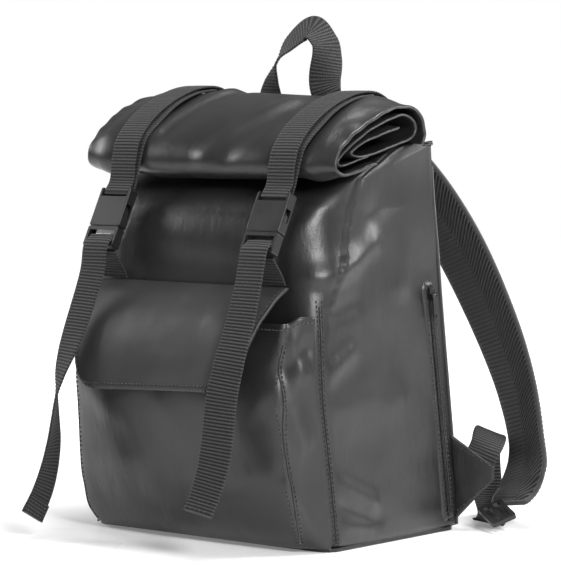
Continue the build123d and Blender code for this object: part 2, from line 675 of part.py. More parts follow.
def make_closing_strap(x):
    wrap = SOCKET_BAR + WEBBING_WRAP_GAP + WEBBING / 2
    turn = [buckle_yz(SOCKET_BAR_AT + wrap * math.sin(a), wrap * math.cos(a))
            for a in (math.radians(d) for d in (0, 45, 90, 135, 180))]
    near = [buckle_yz(-LAYERS_MEET, LAYER_SPACING / 2)]
    far = [buckle_yz(-LAYERS_MEET, -LAYER_SPACING / 2)]
    route = placed_path(STRAP_PATH)
    folded = parallel(route, LAYER_SPACING)[-STRAP_FOLD_POINTS:]
    path = route + near + turn + far + folded[::-1]
    return band(path, WEBBING_WIDTH, WEBBING, x)


def make_anchor(x):
    seam = (front_y(x, FLAP_SEAM_Z) - WEBBING, FLAP_SEAM_Z + ANCHOR_SEAM)
    turn = (seam[0] - ANCHOR_TURN[0], seam[1] + ANCHOR_TURN[1])
    behind = -(BAR_RADIUS + BAR_FIT + WEBBING)
    lip_back = -(PLUG_THICKNESS / 2 + WEBBING / 2 + WEBBING_SIDE_GAP)
    path = [seam, turn, buckle_yz(PLUG_END + BAR_RADIUS, lip_back),
            buckle_yz(PLUG_SLOT[1] - ANCHOR_EDGE, lip_back), buckle_yz(PLUG_BAR, behind)]
    return band(path, WEBBING_WIDTH, WEBBING, x)


def make_tail(x, line):
    radius = (BAR_RADIUS + BAR_FIT + WEBBING / 2) / math.cos(math.radians(WRAP_STEP / 2))
    rows = []
    for k in range(WRAP_POINTS):
        angle = math.radians(WRAP_FIRST + WRAP_STEP * k)
        y, z = buckle_yz(PLUG_BAR - radius * math.sin(angle), -radius * math.cos(angle))
        rows.append(((x, y, z), (1, 0, 0)))
    for past, lift in TAIL_START:
        y, z = buckle_yz(PLUG_END + past, PLUG_THICKNESS / 2 + lift)
        rows.append(((x, y, z), (1, 0, 0)))
    shift = Vector(0, *buckle_yz(PLUG_END, 0)) - Vector(0, *TAIL_DRAWN_FROM)
    for aside, py, pz, turned in line:
        angle = math.radians(turned)
        middle = (x + aside, py + shift.Y - (POCKET_DEPTH - TAIL_POCKET_DEPTH), pz + shift.Z)
        rows.append((middle, (math.cos(angle), math.sin(angle), 0)))
    return ribbon(rows, WEBBING_WIDTH, WEBBING)


def make_straps():
    socket, plug = make_socket(), make_plug()
    for side, name, line in ((1, "right", TAIL_RIGHT), (-1, "left", TAIL_LEFT)):
        x = side * STRAP_X
        place = buckle_place(x)
        save(f"closing_strap_{name}", make_closing_strap(x))
        save(f"buckle_socket_{name}", socket.moved(place))
        save(f"buckle_plug_{name}", plug.moved(place))
        save(f"prong_outer_{name}", make_prong(side).moved(place))
        save(f"prong_inner_{name}", make_prong(-side).moved(place))
        save(f"strap_anchor_{name}", make_anchor(x))
        save(f"strap_tail_{name}", make_tail(x, line))


# ---- side zip ----------------------------------------------------------------------------------
def zip_ends():
    ends = []
    for y, z in (ZIP_TOP, ZIP_BOTTOM):
        ends.append(Vector(side_x(y, z) + ZIP_STAND_OFF, y, z))
    return ends


def zip_place():
    """The zip's frame: local x runs down it from its top, local z points out."""
    top, bottom = zip_ends()
    along = (bottom - top).normalized()
    out = Vector(1, 0, 0)
    out = (out - along * out.dot(along)).normalized()
    return Plane(origin=top, x_dir=along, z_dir=out).location, (bottom - top).length


def make_zip():
    place, length = zip_place()
    low = Align.MIN
    mid = Align.CENTER
    tape = Box(length + 2 * ZIP_TAPE_SPARE, ZIP_TAPE_WIDTH, ZIP_TAPE, align=(low, mid, mid))
    save("zip_tape", tape.moved(Location((-ZIP_TAPE_SPARE, 0, 0))).moved(place))

    top_stop = SLIDER_LENGTH / 2 + SLIDER_CLEAR
    teeth = Box(length - STOP_LENGTH, TEETH_WIDTH, TEETH_HEIGHT, align=(low, mid, low))
    face = ZIP_TAPE / 2 + TEETH_GAP
    save("zip_teeth", teeth.moved(Location((0, 0, face))).moved(place))

    wider, higher = STOP_EXTRA
    stop = Box(STOP_LENGTH, TEETH_WIDTH + wider, TEETH_HEIGHT + higher, align=(low, mid, low))
    save("zip_stops", *[stop.moved(Location((at, 0, face))).moved(place)
                        for at in (-top_stop - STOP_LENGTH, length)])

    slider = Box(SLIDER_LENGTH, SLIDER_WIDTH, SLIDER_HEIGHT, align=(mid, mid, low))
    slider = fillet(slider.edges().filter_by(Axis.Z), SLIDER_CORNER)
    channel = Box(SLIDER_LENGTH + 2, TEETH_WIDTH + 2 * SLIDER_CLEAR,
                  TEETH_HEIGHT + SLIDER_CLEAR, align=(mid, mid, low))
    slider = slider - channel
    for side in (-1, 1):
        lug = Box(LUG_LENGTH, LUG_WALL, LUG_HEIGHT, align=(mid, mid, low))
        at = side * (LUG_HALF + SLIDER_CLEAR + LUG_WALL / 2)
        slider = slider + lug.moved(Location((0, at, SLIDER_HEIGHT)))
    pin_z = SLIDER_HEIGHT + LUG_HEIGHT / 2 + PIN_LIFT
    hole = Cylinder(PIN_RADIUS + PIN_FIT, SLIDER_WIDTH + 2, rotation=(90, 0, 0))
    slider = slider - hole.moved(Location((0, 0, pin_z)))
    lift = ZIP_TAPE / 2 + SLIDER_CLEAR
    save("zip_slider", slider.moved(Location((0, 0, lift))).moved(place))

    eye = Cylinder(PULLER_THICKNESS / 2 + EYE_EXTRA, 2 * LUG_HALF, rotation=(90, 0, 0))
    pin = Cylinder(PIN_RADIUS, 2 * (LUG_HALF + LUG_WALL), rotation=(90, 0, 0))
    plate = Box(PULLER_LENGTH, PULLER_WIDTH, PULLER_THICKNESS, align=(low, mid, mid))
    ring_hole = Cylinder(PULLER_WIDTH / 2 - PULLER_RIM, PULLER_THICKNESS * 2)
    plate = fillet(plate.edges().filter_by(Axis.Z), PULLER_CORNER)
    plate = plate - ring_hole.moved(Location((PULLER_LENGTH - PULLER_WIDTH / 2, 0, 0)))
    puller = plate.moved(Location((0, 0, 0), (0, PULLER_SLOPE, 0))) + eye + pin
    save("zip_puller", puller.moved(Location((0, 0, lift + pin_z))).moved(place))


# ---- handle and shoulder straps -------------------------------------------------------------------
def ribbon(line, width, thickness, edge=1.0):
    """A flat strip through (middle, width direction) stations; edge thins its two sides."""
    outer, inner = [], []
    for i, (middle, across) in enumerate(line):
        before, after = line[max(i - 1, 0)][0], line[min(i + 1, len(line) - 1)][0]
        along = (Vector(*after) - Vector(*before)).normalized()
        wide = Vector(*across)
        wide = (wide - along * wide.dot(along)).normalized()
        normal = along.cross(wide)
        shares = ((-0.5, edge), (-RIBBON_FLAT, 1.0), (RIBBON_FLAT, 1.0), (0.5, edge))
        for grid, sign in ((outer, 1), (inner, -1)):
            row = [Vector(*middle) + wide * (width * a) + normal * (sign * thickness / 2 * e)
                   for a, e in shares]
            grid.append([tuple(p) for p in row])
    return slab(outer, inner)


def make_handle():
    save("grab_handle", ribbon(placed_line(HANDLE_LINE), WEBBING_WIDTH, HANDLE_WEBBING))
    width, height, thickness = HANDLE_PATCH
    back = body_at(BODY_HEIGHT - PATCH_DROP - height)[2]
    patch = Box(width, thickness, height, align=(Align.CENTER, Align.MIN, Align.MAX))
    save("handle_patch", patch.moved(Location((0, back + SEAM_GAP, BODY_HEIGHT - PATCH_DROP))))


def make_shoulder_straps():
    pair("shoulder_pad", ribbon(placed_line(PAD_LINE), PAD_WIDTH, PAD_THICKNESS, PAD_EDGE))
    yoke_x = STRAP_X - WEBBING_WIDTH / 2 - YOKE_STRAP_GAP - YOKE_WIDTH / 2
    pair("strap_yoke", band(placed_path(YOKE_PATH), YOKE_WIDTH, YOKE_THICKNESS, yoke_x))
    pair("adjuster_webbing", ribbon(placed_line(ADJUSTER_LINE), WEBBING_WIDTH, WEBBING))

    low, high = WING_ROOT
    root = [(body_at(z)[0] + SOFT_GAP, body_at(z)[2] - WING_INSET, z) for z in (low, high)]
    tip_x, tip_y, tip_z = placed(*WING_TIP)
    tip = [(tip_x, tip_y, tip_z + k * WING_TIP_HEIGHT / 2) for k in (-1, 1)]
    outer = [[root[0], tip[0]], [root[1], tip[1]]]
    pair("wing", slab(outer, pushed(outer, (0, WING_THICKNESS, 0))))

    middle, across, along = (Vector(*v) for v in (placed(*LOCK_AT[0]), *LOCK_AT[1:]))
    out = across.cross(along).normalized()
    lock_half = SLOT_HALF + LOCK_SIDE
    middle += along * (lock_half - LOCK_DRAWN_HALF) * LOCK_CLEAR
    place = Plane(origin=middle, x_dir=across, z_dir=out).location
    lock = Box(2 * lock_half, LOCK_LENGTH, LOCK_THICKNESS)
    lock = fillet(lock.edges().filter_by(Axis.Z), LOCK_CORNER)
    slot = Box(2 * SLOT_HALF, (LOCK_LENGTH - 3 * LOCK_BAR) / 2, 2 * LOCK_THICKNESS)
    shift = (LOCK_LENGTH - 3 * LOCK_BAR) / 4 + LOCK_BAR / 2
    for side in (-1, 1):
        lock = lock - slot.moved(Location((0, side * shift, 0)))
    pair("ladder_lock", lock.moved(place))


if __name__ == "__main__":
    make_body()
    make_lining()
    make_pocket()
    make_flap()
    make_roll()
    make_straps()
    make_zip()
    make_handle()
    make_shoulder_straps()
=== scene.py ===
import json
import math

import bmesh
import bpy
import numpy as np
from bpy.props import FloatProperty, FloatVectorProperty, PointerProperty
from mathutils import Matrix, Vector, noise


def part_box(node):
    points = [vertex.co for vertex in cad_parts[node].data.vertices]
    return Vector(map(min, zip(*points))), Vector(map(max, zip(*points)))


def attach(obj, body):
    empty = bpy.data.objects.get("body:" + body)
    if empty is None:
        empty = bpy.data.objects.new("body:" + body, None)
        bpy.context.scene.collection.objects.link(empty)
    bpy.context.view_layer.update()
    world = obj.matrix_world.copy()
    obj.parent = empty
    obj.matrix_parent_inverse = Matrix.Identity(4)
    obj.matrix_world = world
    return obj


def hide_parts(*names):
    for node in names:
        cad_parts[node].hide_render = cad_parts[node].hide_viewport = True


bl_info = {
    "name": "Roll-top backpack",
    "version": (1, 0, 0),
    "blender": (4, 5, 0),
    "location": "3D View > Sidebar > Backpack",
    "description": "Builds the skins, straps, seams and stage of a leather roll-top backpack",
    "category": "Add Mesh",
}

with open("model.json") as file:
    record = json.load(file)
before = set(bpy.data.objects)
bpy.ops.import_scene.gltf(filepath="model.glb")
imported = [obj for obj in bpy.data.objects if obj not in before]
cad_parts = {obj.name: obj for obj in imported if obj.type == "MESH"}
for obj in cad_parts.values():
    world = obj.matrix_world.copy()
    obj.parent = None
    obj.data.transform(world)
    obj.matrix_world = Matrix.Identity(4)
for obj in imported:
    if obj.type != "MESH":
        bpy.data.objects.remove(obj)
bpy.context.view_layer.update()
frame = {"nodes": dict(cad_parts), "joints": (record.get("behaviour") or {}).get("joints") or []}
MM = 0.001
TURN = 2 * math.pi
SIDES = (("right", 1), ("left", -1))


# ---- sizes and colours that a user would change ------------------------------------------
class LeatherSettings(bpy.types.PropertyGroup):
    colour: FloatVectorProperty(
        name="Colour", description="Dyed colour of the leather", subtype="COLOR",
        default=(0.0105, 0.0105, 0.011), min=0, max=1)
    flap_colour: FloatVectorProperty(
        name="Flap colour", description="Colour of the matt leather of the flap", subtype="COLOR",
        default=(0.017, 0.017, 0.0175), min=0, max=1)
    roughness: FloatProperty(
        name="Roughness", description="Mean roughness of the finish", default=0.37, min=0, max=1)
    grain: FloatProperty(
        name="Grain", description="Width of one cell of the grain", default=0.0011,
        unit="LENGTH", subtype="DISTANCE", precision=4)
    thickness: FloatProperty(
        name="Thickness", description="Thickness of the leather in millimetres", default=2.2)
    crease: FloatProperty(
        name="Creasing", description="How deep the soft creases are", default=1.0, min=0, max=3)


class WebbingSettings(bpy.types.PropertyGroup):
    colour: FloatVectorProperty(
        name="Colour", description="Colour of the yarn", subtype="COLOR",
        default=(0.009, 0.009, 0.0094), min=0, max=1)
    width: FloatProperty(name="Width", description="Width in millimetres", default=30.0)
    thickness: FloatProperty(name="Thickness", description="Thickness in millimetres", default=1.8)
    rib_pitch: FloatProperty(
        name="Rib pitch", description="From one cross rib to the next in millimetres", default=3.0)
    rib_height: FloatProperty(
        name="Rib height", description="Height of a rib in millimetres", default=0.32)


class StitchSettings(bpy.types.PropertyGroup):
    pitch: FloatProperty(
        name="Pitch", description="From stitch to stitch in millimetres", default=4.2)
    length: FloatProperty(
        name="Length", description="Length of one stitch in millimetres", default=2.9)
    radius: FloatProperty(
        name="Thread radius", description="Radius of the thread in millimetres", default=0.7)


class StageSettings(bpy.types.PropertyGroup):
    azimuth: FloatProperty(
        name="Azimuth", description="Direction of the camera about the bag",
        default=math.radians(40), subtype="ANGLE", unit="ROTATION")
    elevation: FloatProperty(
        name="Elevation", description="Height of the camera over the horizon",
        default=math.radians(3.6), subtype="ANGLE", unit="ROTATION")
    distance: FloatProperty(
        name="Distance", description="From the camera to the middle of the bag", default=2.5,
        unit="LENGTH", subtype="DISTANCE")
    lens: FloatProperty(name="Lens", description="Focal length in millimetres", default=172.1)
    floor_colour: FloatVectorProperty(
        name="Floor colour", description="Colour of the studio floor", subtype="COLOR",
        default=(0.92, 0.92, 0.92), min=0, max=1)
    key_power: FloatProperty(name="Key light", description="Power of the key light", default=105.0)
    room: FloatProperty(
        name="Room light", description="Strength of the room's even light", default=0.25)


def settings():
    return bpy.context.scene.backpack


# ---- shader maths ------------------------------------------------------------------------
class Value:
    """A shader socket that Python arithmetic works on."""

    def __init__(self, paint, socket):
        self.paint = paint
        self.socket = socket

    def math(self, operation, *others, flip=False):
        values = [self, *others]
        if flip:
            values.reverse()
        return self.paint.node("ShaderNodeMath", {"operation": operation}, dict(enumerate(values)))

    def __add__(self, other):
        return self.math("ADD", other)

    __radd__ = __add__

    def __mul__(self, other):
        return self.math("MULTIPLY", other)

    __rmul__ = __mul__

    def __sub__(self, other):
        return self.math("SUBTRACT", other)

    def __rsub__(self, other):
        return self.math("SUBTRACT", other, flip=True)

    def __abs__(self):
        return self.math("ABSOLUTE")

    def sine(self):
        return self.math("SINE")

    def power(self, exponent):
        return self.math("POWER", exponent)

    def clamped(self, low, high):
        """0 below low, 1 above high and smooth between."""
        return self.paint.node(
            "ShaderNodeMapRange", {"interpolation_type": "SMOOTHSTEP"},
            {"Value": self, "From Min": low, "From Max": high})


class Paint:
    """A material built from expressions on Value."""

    def __init__(self, name, **constants):
        self.material = bpy.data.materials.new(name)
        self.material.use_nodes = True
        self.nodes = self.material.node_tree.nodes
        self.links = self.material.node_tree.links
        self.shader = self.nodes["Principled BSDF"]
        for socket, value in constants.items():
            self.shader.inputs[socket.replace("_", " ")].default_value = value

    def node(self, kind, options=None, inputs=None, output=0):
        made = self.nodes.new(kind)
        for key, value in (options or {}).items():
            setattr(made, key, value)
        for key, value in (inputs or {}).items():
            if isinstance(value, Value):
                self.links.new(value.socket, made.inputs[key])
            else:
                made.inputs[key].default_value = value
        return Value(self, made.outputs[output])

    def place(self):
        return self.node("ShaderNodeTexCoord", output="Object")

    def parts(self, vector, count=3):
        return [self.node("ShaderNodeSeparateXYZ", None, {"Vector": vector}, axis)
                for axis in range(count)]

    def uv(self):
        """The piece's own coordinates in millimetres: across it, and along it."""
        return self.parts(self.node("ShaderNodeUVMap", {"uv_map": "UVMap"}), 2)

    def noise(self, scale, detail=3.0, at=None, rough=0.55):
        return self.node("ShaderNodeTexNoise", None,
                         {"Vector": at or self.place(), "Scale": scale, "Detail": detail,
                          "Roughness": rough})

    def stretched(self, sizes, turned=(0, 0, 0)):
        """The place with each axis scaled, for a pattern that is longer one way."""
        return self.node("ShaderNodeMapping", None,
                         {"Vector": self.place(), "Scale": sizes, "Rotation": turned})

    def mixed(self, dark, light, mask):
        return self.node("ShaderNodeMix", {"data_type": "RGBA"},
                         {"Factor": mask, 6: (*dark, 1), 7: (*light, 1)}, 2)

    def colour(self, dark, light, mask):
        self.drive("Base Color", self.mixed(dark, light, mask))

    def drive(self, socket, value):
        self.links.new(value.socket, self.shader.inputs[socket])

    def bump(self, height, strength, distance, under=None):
        inputs = {"Height": height, "Strength": strength, "Distance": distance}
        if under:
            inputs["Normal"] = under
        return self.node("ShaderNodeBump", None, inputs)

    def finish_bump(self, bumped):
        self.drive("Normal", bumped)
        return self.material


def shade(colour, factor):
    return tuple(min(c * factor, 1) for c in colour)


def leather_material(name, colour, roughness, crease):
    own = settings().leather
    paint = Paint(name, Specular_IOR_Level=0.42, Coat_Roughness=0.3)
    cells = paint.node("ShaderNodeTexVoronoi", {"feature": "SMOOTH_F1"},
                       {"Vector": paint.place(), "Scale": 1 / own.grain, "Smoothness": 0.6})
    pores = paint.noise(2600, 2)
    clouds = paint.noise(14, 4)
    handled = paint.noise(5, 2)
    paint.colour(shade(colour, 0.82), shade(colour, 1.2), clouds.clamped(0.3, 0.72))
    dull = roughness + (clouds - 0.5) * 0.16 + (handled - 0.5) * 0.14 + cells * 0.05
    paint.drive("Roughness", dull)
    paint.drive("Coat Weight", handled.clamped(0.35, 0.75) * 0.12)
    puckers = paint.noise(1, 3, paint.stretched((46, 46, 18), (0.5, 0.3, 0)))
    ripples = paint.noise(1, 3, paint.stretched((150, 150, 60), (0.2, 0.6, 0.4)))
    bumped = paint.bump(puckers, crease, 0.0030)
    bumped = paint.bump(ripples, crease * 0.7, 0.0007, bumped)
    bumped = paint.bump(cells + pores * 0.4, 0.32, 0.00022, bumped)
    return paint.finish_bump(bumped)


def webbing_material(name, colour):
    own = settings().webbing
    paint = Paint(name, Sheen_Weight=0.08, Sheen_Roughness=0.4, Specular_IOR_Level=0.3)
    across, along = paint.uv()
    ribs = (along * (TURN / own.rib_pitch)).sine() * 0.5 + 0.5
    warp = (across * (TURN / 1.5)).sine() * 0.5 + 0.5
    weft = (along * (TURN / 1.0) + across * 2.1).sine() * 0.5 + 0.5
    fuzz = paint.noise(900, 3)
    # Painted highlight and shade over the woven pattern: where weave and fuzz are high, the colour
    # below is up to nine times lighter, painting light on the rib crests and fibre specks. The
    # hollows between the ribs are painted dark as shade.
    weave = ribs * 0.5 + warp * ribs * 0.3 + weft * 0.2
    paint.colour(shade(colour, 0.15), shade(colour, 9.0), (weave * 0.75 + fuzz * 0.35).power(2.6))
    paint.drive("Roughness", 0.78 - ribs * 0.14 + fuzz * 0.1)
    bumped = paint.bump(ribs, 0.5, 0.00035)
    bumped = paint.bump(warp * weft + fuzz * 0.3, 0.7, 0.00035, bumped)
    return paint.finish_bump(bumped)


def mesh_material(name, colour):
    """Spacer fabric: rows of small holes, which turn into a herringbone near one edge; the holes
    and grooves are painted dark as shade.
    """
    paint = Paint(name, Sheen_Weight=0.06, Sheen_Roughness=0.5, Specular_IOR_Level=0.25)
    across, along = paint.uv()
    one = ((across + along * 0.58) * (TURN / 4.6)).sine()
    two = ((across - along * 0.58) * (TURN / 4.6)).sine()
    holes = (one * two).clamped(0.05, 0.6)
    rows = ((along + abs(across) * 0.9) * (TURN / 4.4)).sine() * 0.5 + 0.5
    herring = across.clamped(3, 10)
    pattern = (1 - holes) * (1 - herring) + rows * herring
    fuzz = paint.noise(1400, 2)
    # Painted shade: the holes and the herringbone's grooves are painted near black, a tenth of the
    # yarn's colour; the yarn between them is up to 3.6 times lighter.
    paint.colour(shade(colour, 0.1), shade(colour, 3.6), (pattern * 0.85 + fuzz * 0.15).power(1.5))
    paint.drive("Roughness", 0.82 - pattern * 0.22)
    bumped = paint.bump(pattern, 0.9, 0.0009)
    bumped = paint.bump(fuzz, 0.3, 0.0002, bumped)
    return paint.finish_bump(bumped)


def plastic_material(name, colour, roughness):
    paint = Paint(name, Specular_IOR_Level=0.36)
    haze = paint.noise(60, 4)
    spark = paint.noise(3200, 2)
    paint.colour(shade(colour, 0.85), shade(colour, 1.25), haze.clamped(0.3, 0.7))
    paint.drive("Roughness", roughness + (haze - 0.5) * 0.18)
    bumped = paint.bump(haze, 0.15, 0.0006)
    bumped = paint.bump(spark, 0.2, 0.00006, bumped)
    return paint.finish_bump(bumped)


def cloth_material(name, colour):
    paint = Paint(name, Sheen_Weight=0.3, Specular_IOR_Level=0.3)
    x, y, z = paint.parts(paint.place())
    one = ((x + y) * (TURN / 0.0012)).sine()
    two = (z * (TURN / 0.0012)).sine()
    weave = one * two * 0.5 + 0.5
    paint.colour(shade(colour, 0.7), shade(colour, 1.3), weave)
    paint.drive("Roughness", 0.7 + weave * 0.15)
    return paint.finish_bump(paint.bump(weave, 0.4, 0.0002))


def metal_material(name, colour, roughness):
    paint = Paint(name, Metallic=0.85)
    worn = paint.noise(240, 4)
    fine = paint.noise(2200, 2)
    paint.colour(colour, shade(colour, 2.2), worn.clamped(0.5, 0.75))
    paint.drive("Roughness", roughness + (worn - 0.5) * 0.25)
    return paint.finish_bump(paint.bump(fine, 0.2, 0.00008))


NEAR_GLOW = (0.24, 0.24, 0.24)      # the floor's own light under the bag; it is white far out


def floor_material(name, colour):
    paint = Paint(name, Specular_IOR_Level=0.35, Emission_Strength=0.75)
    haze = paint.noise(3, 2)
    paint.colour(shade(colour, 0.99), colour, haze)
    paint.drive("Roughness", 0.24 + haze * 0.06)
    away = paint.node("ShaderNodeVectorMath", {"operation": "LENGTH"}, {0: paint.place()}, 1)
    paint.drive("Emission Color", paint.mixed(NEAR_GLOW, (1, 1, 1), away.clamped(0.45, 1.3)))
    return paint.material


# ---- mesh helpers: everything is worked out in millimetres -------------------------------
def blend_in(low, high, value):
    """Smooth step from 0 at low to 1 at high, on numbers or arrays."""
    t = np.clip((np.asarray(value, float) - low) / (high - low), 0, 1)
    return t * t * (3 - 2 * t)


def ramp(table, value):
    """Smooth reading of a table of (place, value) rows."""
    table = np.array(table, float)
    places, columns = table[:, 0], table[:, 1:]
    slopes = np.gradient(columns, places, axis=0)
    value = np.clip(np.atleast_1d(np.asarray(value, float)), places[0], places[-1])
    i = np.clip(np.searchsorted(places, value, side="right") - 1, 0, len(places) - 2)
    h = (places[i + 1] - places[i])[:, None]
    t = (value - places[i])[:, None] / h
    a, b, sa, sb = columns[i], columns[i + 1], slopes[i], slopes[i + 1]
    return ((2 * t**3 - 3 * t**2 + 1) * a + (t**3 - 2 * t**2 + t) * h * sa
            + (3 * t**2 - 2 * t**3) * b + (t**3 - t**2) * h * sb)


def through(points, step):
    """Points every step along a smooth line through the given ones; extra columns go along."""
    points = np.array(points, float)
    ends = np.vstack([2 * points[0] - points[1], points, 2 * points[-1] - points[-2]])
    dense = []
    for a, b, c, d in zip(ends, ends[1:], ends[2:], ends[3:]):
        for t in np.linspace(0, 1, 20, endpoint=False):
            dense.append(0.5 * (2 * b + (c - a) * t + (2 * a - 5 * b + 4 * c - d) * t**2
                                + (3 * b - a - 3 * c + d) * t**3))
    dense.append(points[-1])
    dense = np.array(dense)
    run = np.concatenate([[0], np.cumsum(np.linalg.norm(np.diff(dense[:, :3], axis=0), axis=1))])
    at = np.linspace(0, run[-1], max(int(run[-1] / step), 3) + 1)
    return np.stack([np.interp(at, run, column) for column in dense.T], axis=1), at


def unit(vectors):
    return vectors / np.maximum(np.linalg.norm(vectors, axis=-1, keepdims=True), 1e-9)


def grid_normals(grid):
    return unit(np.cross(np.gradient(grid, axis=1), np.gradient(grid, axis=0)))


def pushed(grid, height):
    """Moves each point of a grid out along its normal."""
    return grid + grid_normals(grid) * height[..., None]


def drawn_across(path, x):
    """The grid that a (y, z) path makes when it is drawn along x."""
    grid = np.zeros((len(path), len(x), 3))
    grid[..., 0] = x[None]
    grid[..., 1:] = path[:, None, :2]
    return grid


def strap_frame(middle, wide):
    """The width direction, square to a strap's line, and the normal of its face."""
    along = unit(np.gradient(middle, axis=0))
    wide = unit(wide - along * np.sum(wide * along, axis=1, keepdims=True))
    return wide, np.cross(along, wide)


def cad_box(node):
    """Lowest and highest corner of a CAD node at rest, in millimetres."""
    return [np.array(corner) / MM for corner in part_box(node)]


def cad_joint(name):
    return next(joint for joint in frame["joints"] if joint["name"] == name)


def settle(piece, body, slot, *stands_for):
    """Says what a piece moves with and the CAD nodes that it stands for; its finish, the slot, is
    not used.
    """
    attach(piece, body)
    if stands_for:
        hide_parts(*stands_for)
    return piece


def dress(node, finish):
    """Gives a CAD node that stays in sight one of the finishes."""
    data = frame["nodes"][node].data
    data.materials.clear()
    data.materials.append(shared[finish])


def skin_between(rows, around):
    """Faces that join rings of points, one row to the next."""
    faces = []
    for row in range(0, (rows - 1) * around, around):
        for j in range(around):
            k = (j + 1) % around
            faces.append((row + j, row + k, row + around + k, row + around + j))
    return faces


def linked(name, data):
    thing = bpy.data.objects.new(name, data)
    bpy.context.scene.collection.objects.link(thing)
    return thing


def new_object(name, vertices, faces, uvs=None, material=None, smooth=True):
    mesh = bpy.data.meshes.new(name)
    mesh.from_pydata((np.asarray(vertices) * MM).tolist(), [], faces)
    mesh.validate()
    if uvs is not None:
        layer = mesh.uv_layers.new(name="UVMap")
        loops = np.zeros(len(mesh.loops), int)
        mesh.loops.foreach_get("vertex_index", loops)
        layer.data.foreach_set("uv", np.asarray(uvs, float)[loops].ravel())
    if smooth:
        mesh.polygons.foreach_set("use_smooth", [True] * len(mesh.polygons))
    thing = linked(name, mesh)
    if material:
        mesh.materials.append(material)
    return thing


def outward(thing):
    """Turns the faces of a closed piece outwards."""
    shape = bmesh.new()
    shape.from_mesh(thing.data)
    bmesh.ops.recalc_face_normals(shape, faces=shape.faces)
    shape.to_mesh(thing.data)
    shape.free()
    return thing


def slab(name, top, bottom, material, uv=None, back=None):
    """A closed sheet between two grids; back is the material of its lower side."""
    rows, columns = top.shape[:2]
    loops = np.concatenate([top, bottom[:, ::-1]], axis=1)
    around = 2 * columns
    if uv is None:
        across = np.cumsum(np.linalg.norm(np.diff(top, axis=1, prepend=top[:, :1]), axis=2), axis=1)
        along = np.cumsum(np.linalg.norm(np.diff(top, axis=0, prepend=top[:1]), axis=2), axis=0)
        uv = np.stack([across - across[:, -1:] / 2, along], axis=2)
    uvs = np.concatenate([uv, uv[:, ::-1]], axis=1).reshape(-1, 2)
    faces = skin_between(rows, around)
    upper = [j < columns for j in range(around)] * (rows - 1)
    for i, turned in ((0, False), (rows - 1, True)):
        for j in range(columns - 1):
            a, b = i * around + j, i * around + j + 1
            c, d = i * around + around - 2 - j, i * around + around - 1 - j
            faces.append((a, b, c, d) if turned else (d, c, b, a))
            upper.append(True)
    thing = new_object(name, loops.reshape(-1, 3), faces, uvs, material)
    if back:
        thing.data.materials.append(back)
        thing.data.polygons.foreach_set("material_index", [0 if u else 1 for u in upper])
    return outward(thing)


def sheet(name, grid, thickness, material, edge=0.35):
    """Leather or cloth of even thickness whose outer face is the grid, thinner at its rim."""
    normals = grid_normals(grid)
    rows, columns = grid.shape[:2]
    share = np.ones((rows, columns))
    share[[0, -1]] = edge
    share[:, [0, -1]] = edge
    sunk = (1 - share)[..., None] * normals * thickness * 0.5
    inner = grid - normals * thickness + sunk
    return slab(name, grid - sunk, inner, material)


ACROSS = np.array([-0.5, -0.485, -0.45, -0.38, -0.25, -0.12, 0, 0.12, 0.25, 0.38, 0.45, 0.485, 0.5])
EDGE = np.array([0.25, 0.8, 1.12, 1.0, 0.97, 0.97, 0.97, 0.97, 0.97, 1.0, 1.12, 0.8, 0.25])
RIBBON_STEP = 0.75
RIBBED_HALF = 0.46          # share of the width, from the middle, that the ribs cross
SCALLOP = 0.006             # how much the ribs widen the webbing


def ribbon(name, stations, material, width=None, thickness=None, cup=0.0):
    """Webbing through (place, direction of its width) stations, with woven cross ribs."""
    own = settings().webbing
    width = width or own.width
    thickness = thickness or own.thickness
    line, run = through([(*place, *wide) for place, wide in stations], RIBBON_STEP)
    middle = line[:, :3]
    wide, normal = strap_frame(middle, line[:, 3:])
    wave = np.sin(TURN * run / own.rib_pitch)[:, None]
    rib = own.rib_height * wave * (np.abs(ACROSS) < RIBBED_HALF)
    scallop = 1 + SCALLOP * wave
    bow = cup * (1 - (2 * ACROSS) ** 2)[None, :]
    base = middle[:, None] + wide[:, None] * (ACROSS[None] * width * scallop)[..., None]
    top = base + normal[:, None] * (bow + thickness / 2 * EDGE[None] + rib)[..., None]
    bottom = base + normal[:, None] * (bow - thickness / 2 * EDGE[None] + rib)[..., None]
    uv = np.stack(np.broadcast_arrays(ACROSS[None] * width, run[:, None]), axis=2)
    return slab(name, top, bottom, material, uv)


TUBE_HELPER = np.array([0.3, 0.5, 0.81])    # a direction that no piping runs in


def tube(name, points, radius, material, step=1.5, sides=10):
    """A round cord or piping along a smooth line."""
    line, run = through(points, step)
    along = unit(np.gradient(line, axis=0))
    one = unit(np.cross(along, TUBE_HELPER))
    two = np.cross(along, one)
    turn = np.linspace(0, TURN, sides, endpoint=False)
    ring = one[:, None] * np.cos(turn)[None, :, None] + two[:, None] * np.sin(turn)[None, :, None]
    vertices = (line[:, None] + ring * radius).reshape(-1, 3)
    faces = skin_between(len(line), sides)
    faces.append(tuple(range(sides))[::-1])
    faces.append(tuple((len(line) - 1) * sides + j for j in range(sides)))
    turned = np.broadcast_to(turn[None] * radius, (len(line), sides))
    uvs = np.stack([turned, np.broadcast_to(run[:, None], turned.shape)], axis=2).reshape(-1, 2)
    return outward(new_object(name, vertices, faces, uvs, material))


def seeded_noise(points, size, seed):
    """Soft noise of about +-1 at each point of a grid, with features of the given size."""
    flat = points.reshape(-1, 3) / size + seed
    return np.array([noise.noise(Vector(p)) for p in flat]).reshape(points.shape[:-1])


def folds(points, rows):
    """Height of soft folds: rows of (start, end, width, height) in space."""
    total = np.zeros(points.shape[:-1])
    for start, end, width, height in rows:
        a, b = np.array(start, float), np.array(end, float)
        t = np.clip(((points - a) @ (b - a)) / ((b - a) @ (b - a)), 0, 1)
        away = np.linalg.norm(points - (a + t[..., None] * (b - a)), axis=-1)
        total += height * np.exp(-(away / width) ** 2)
    return total


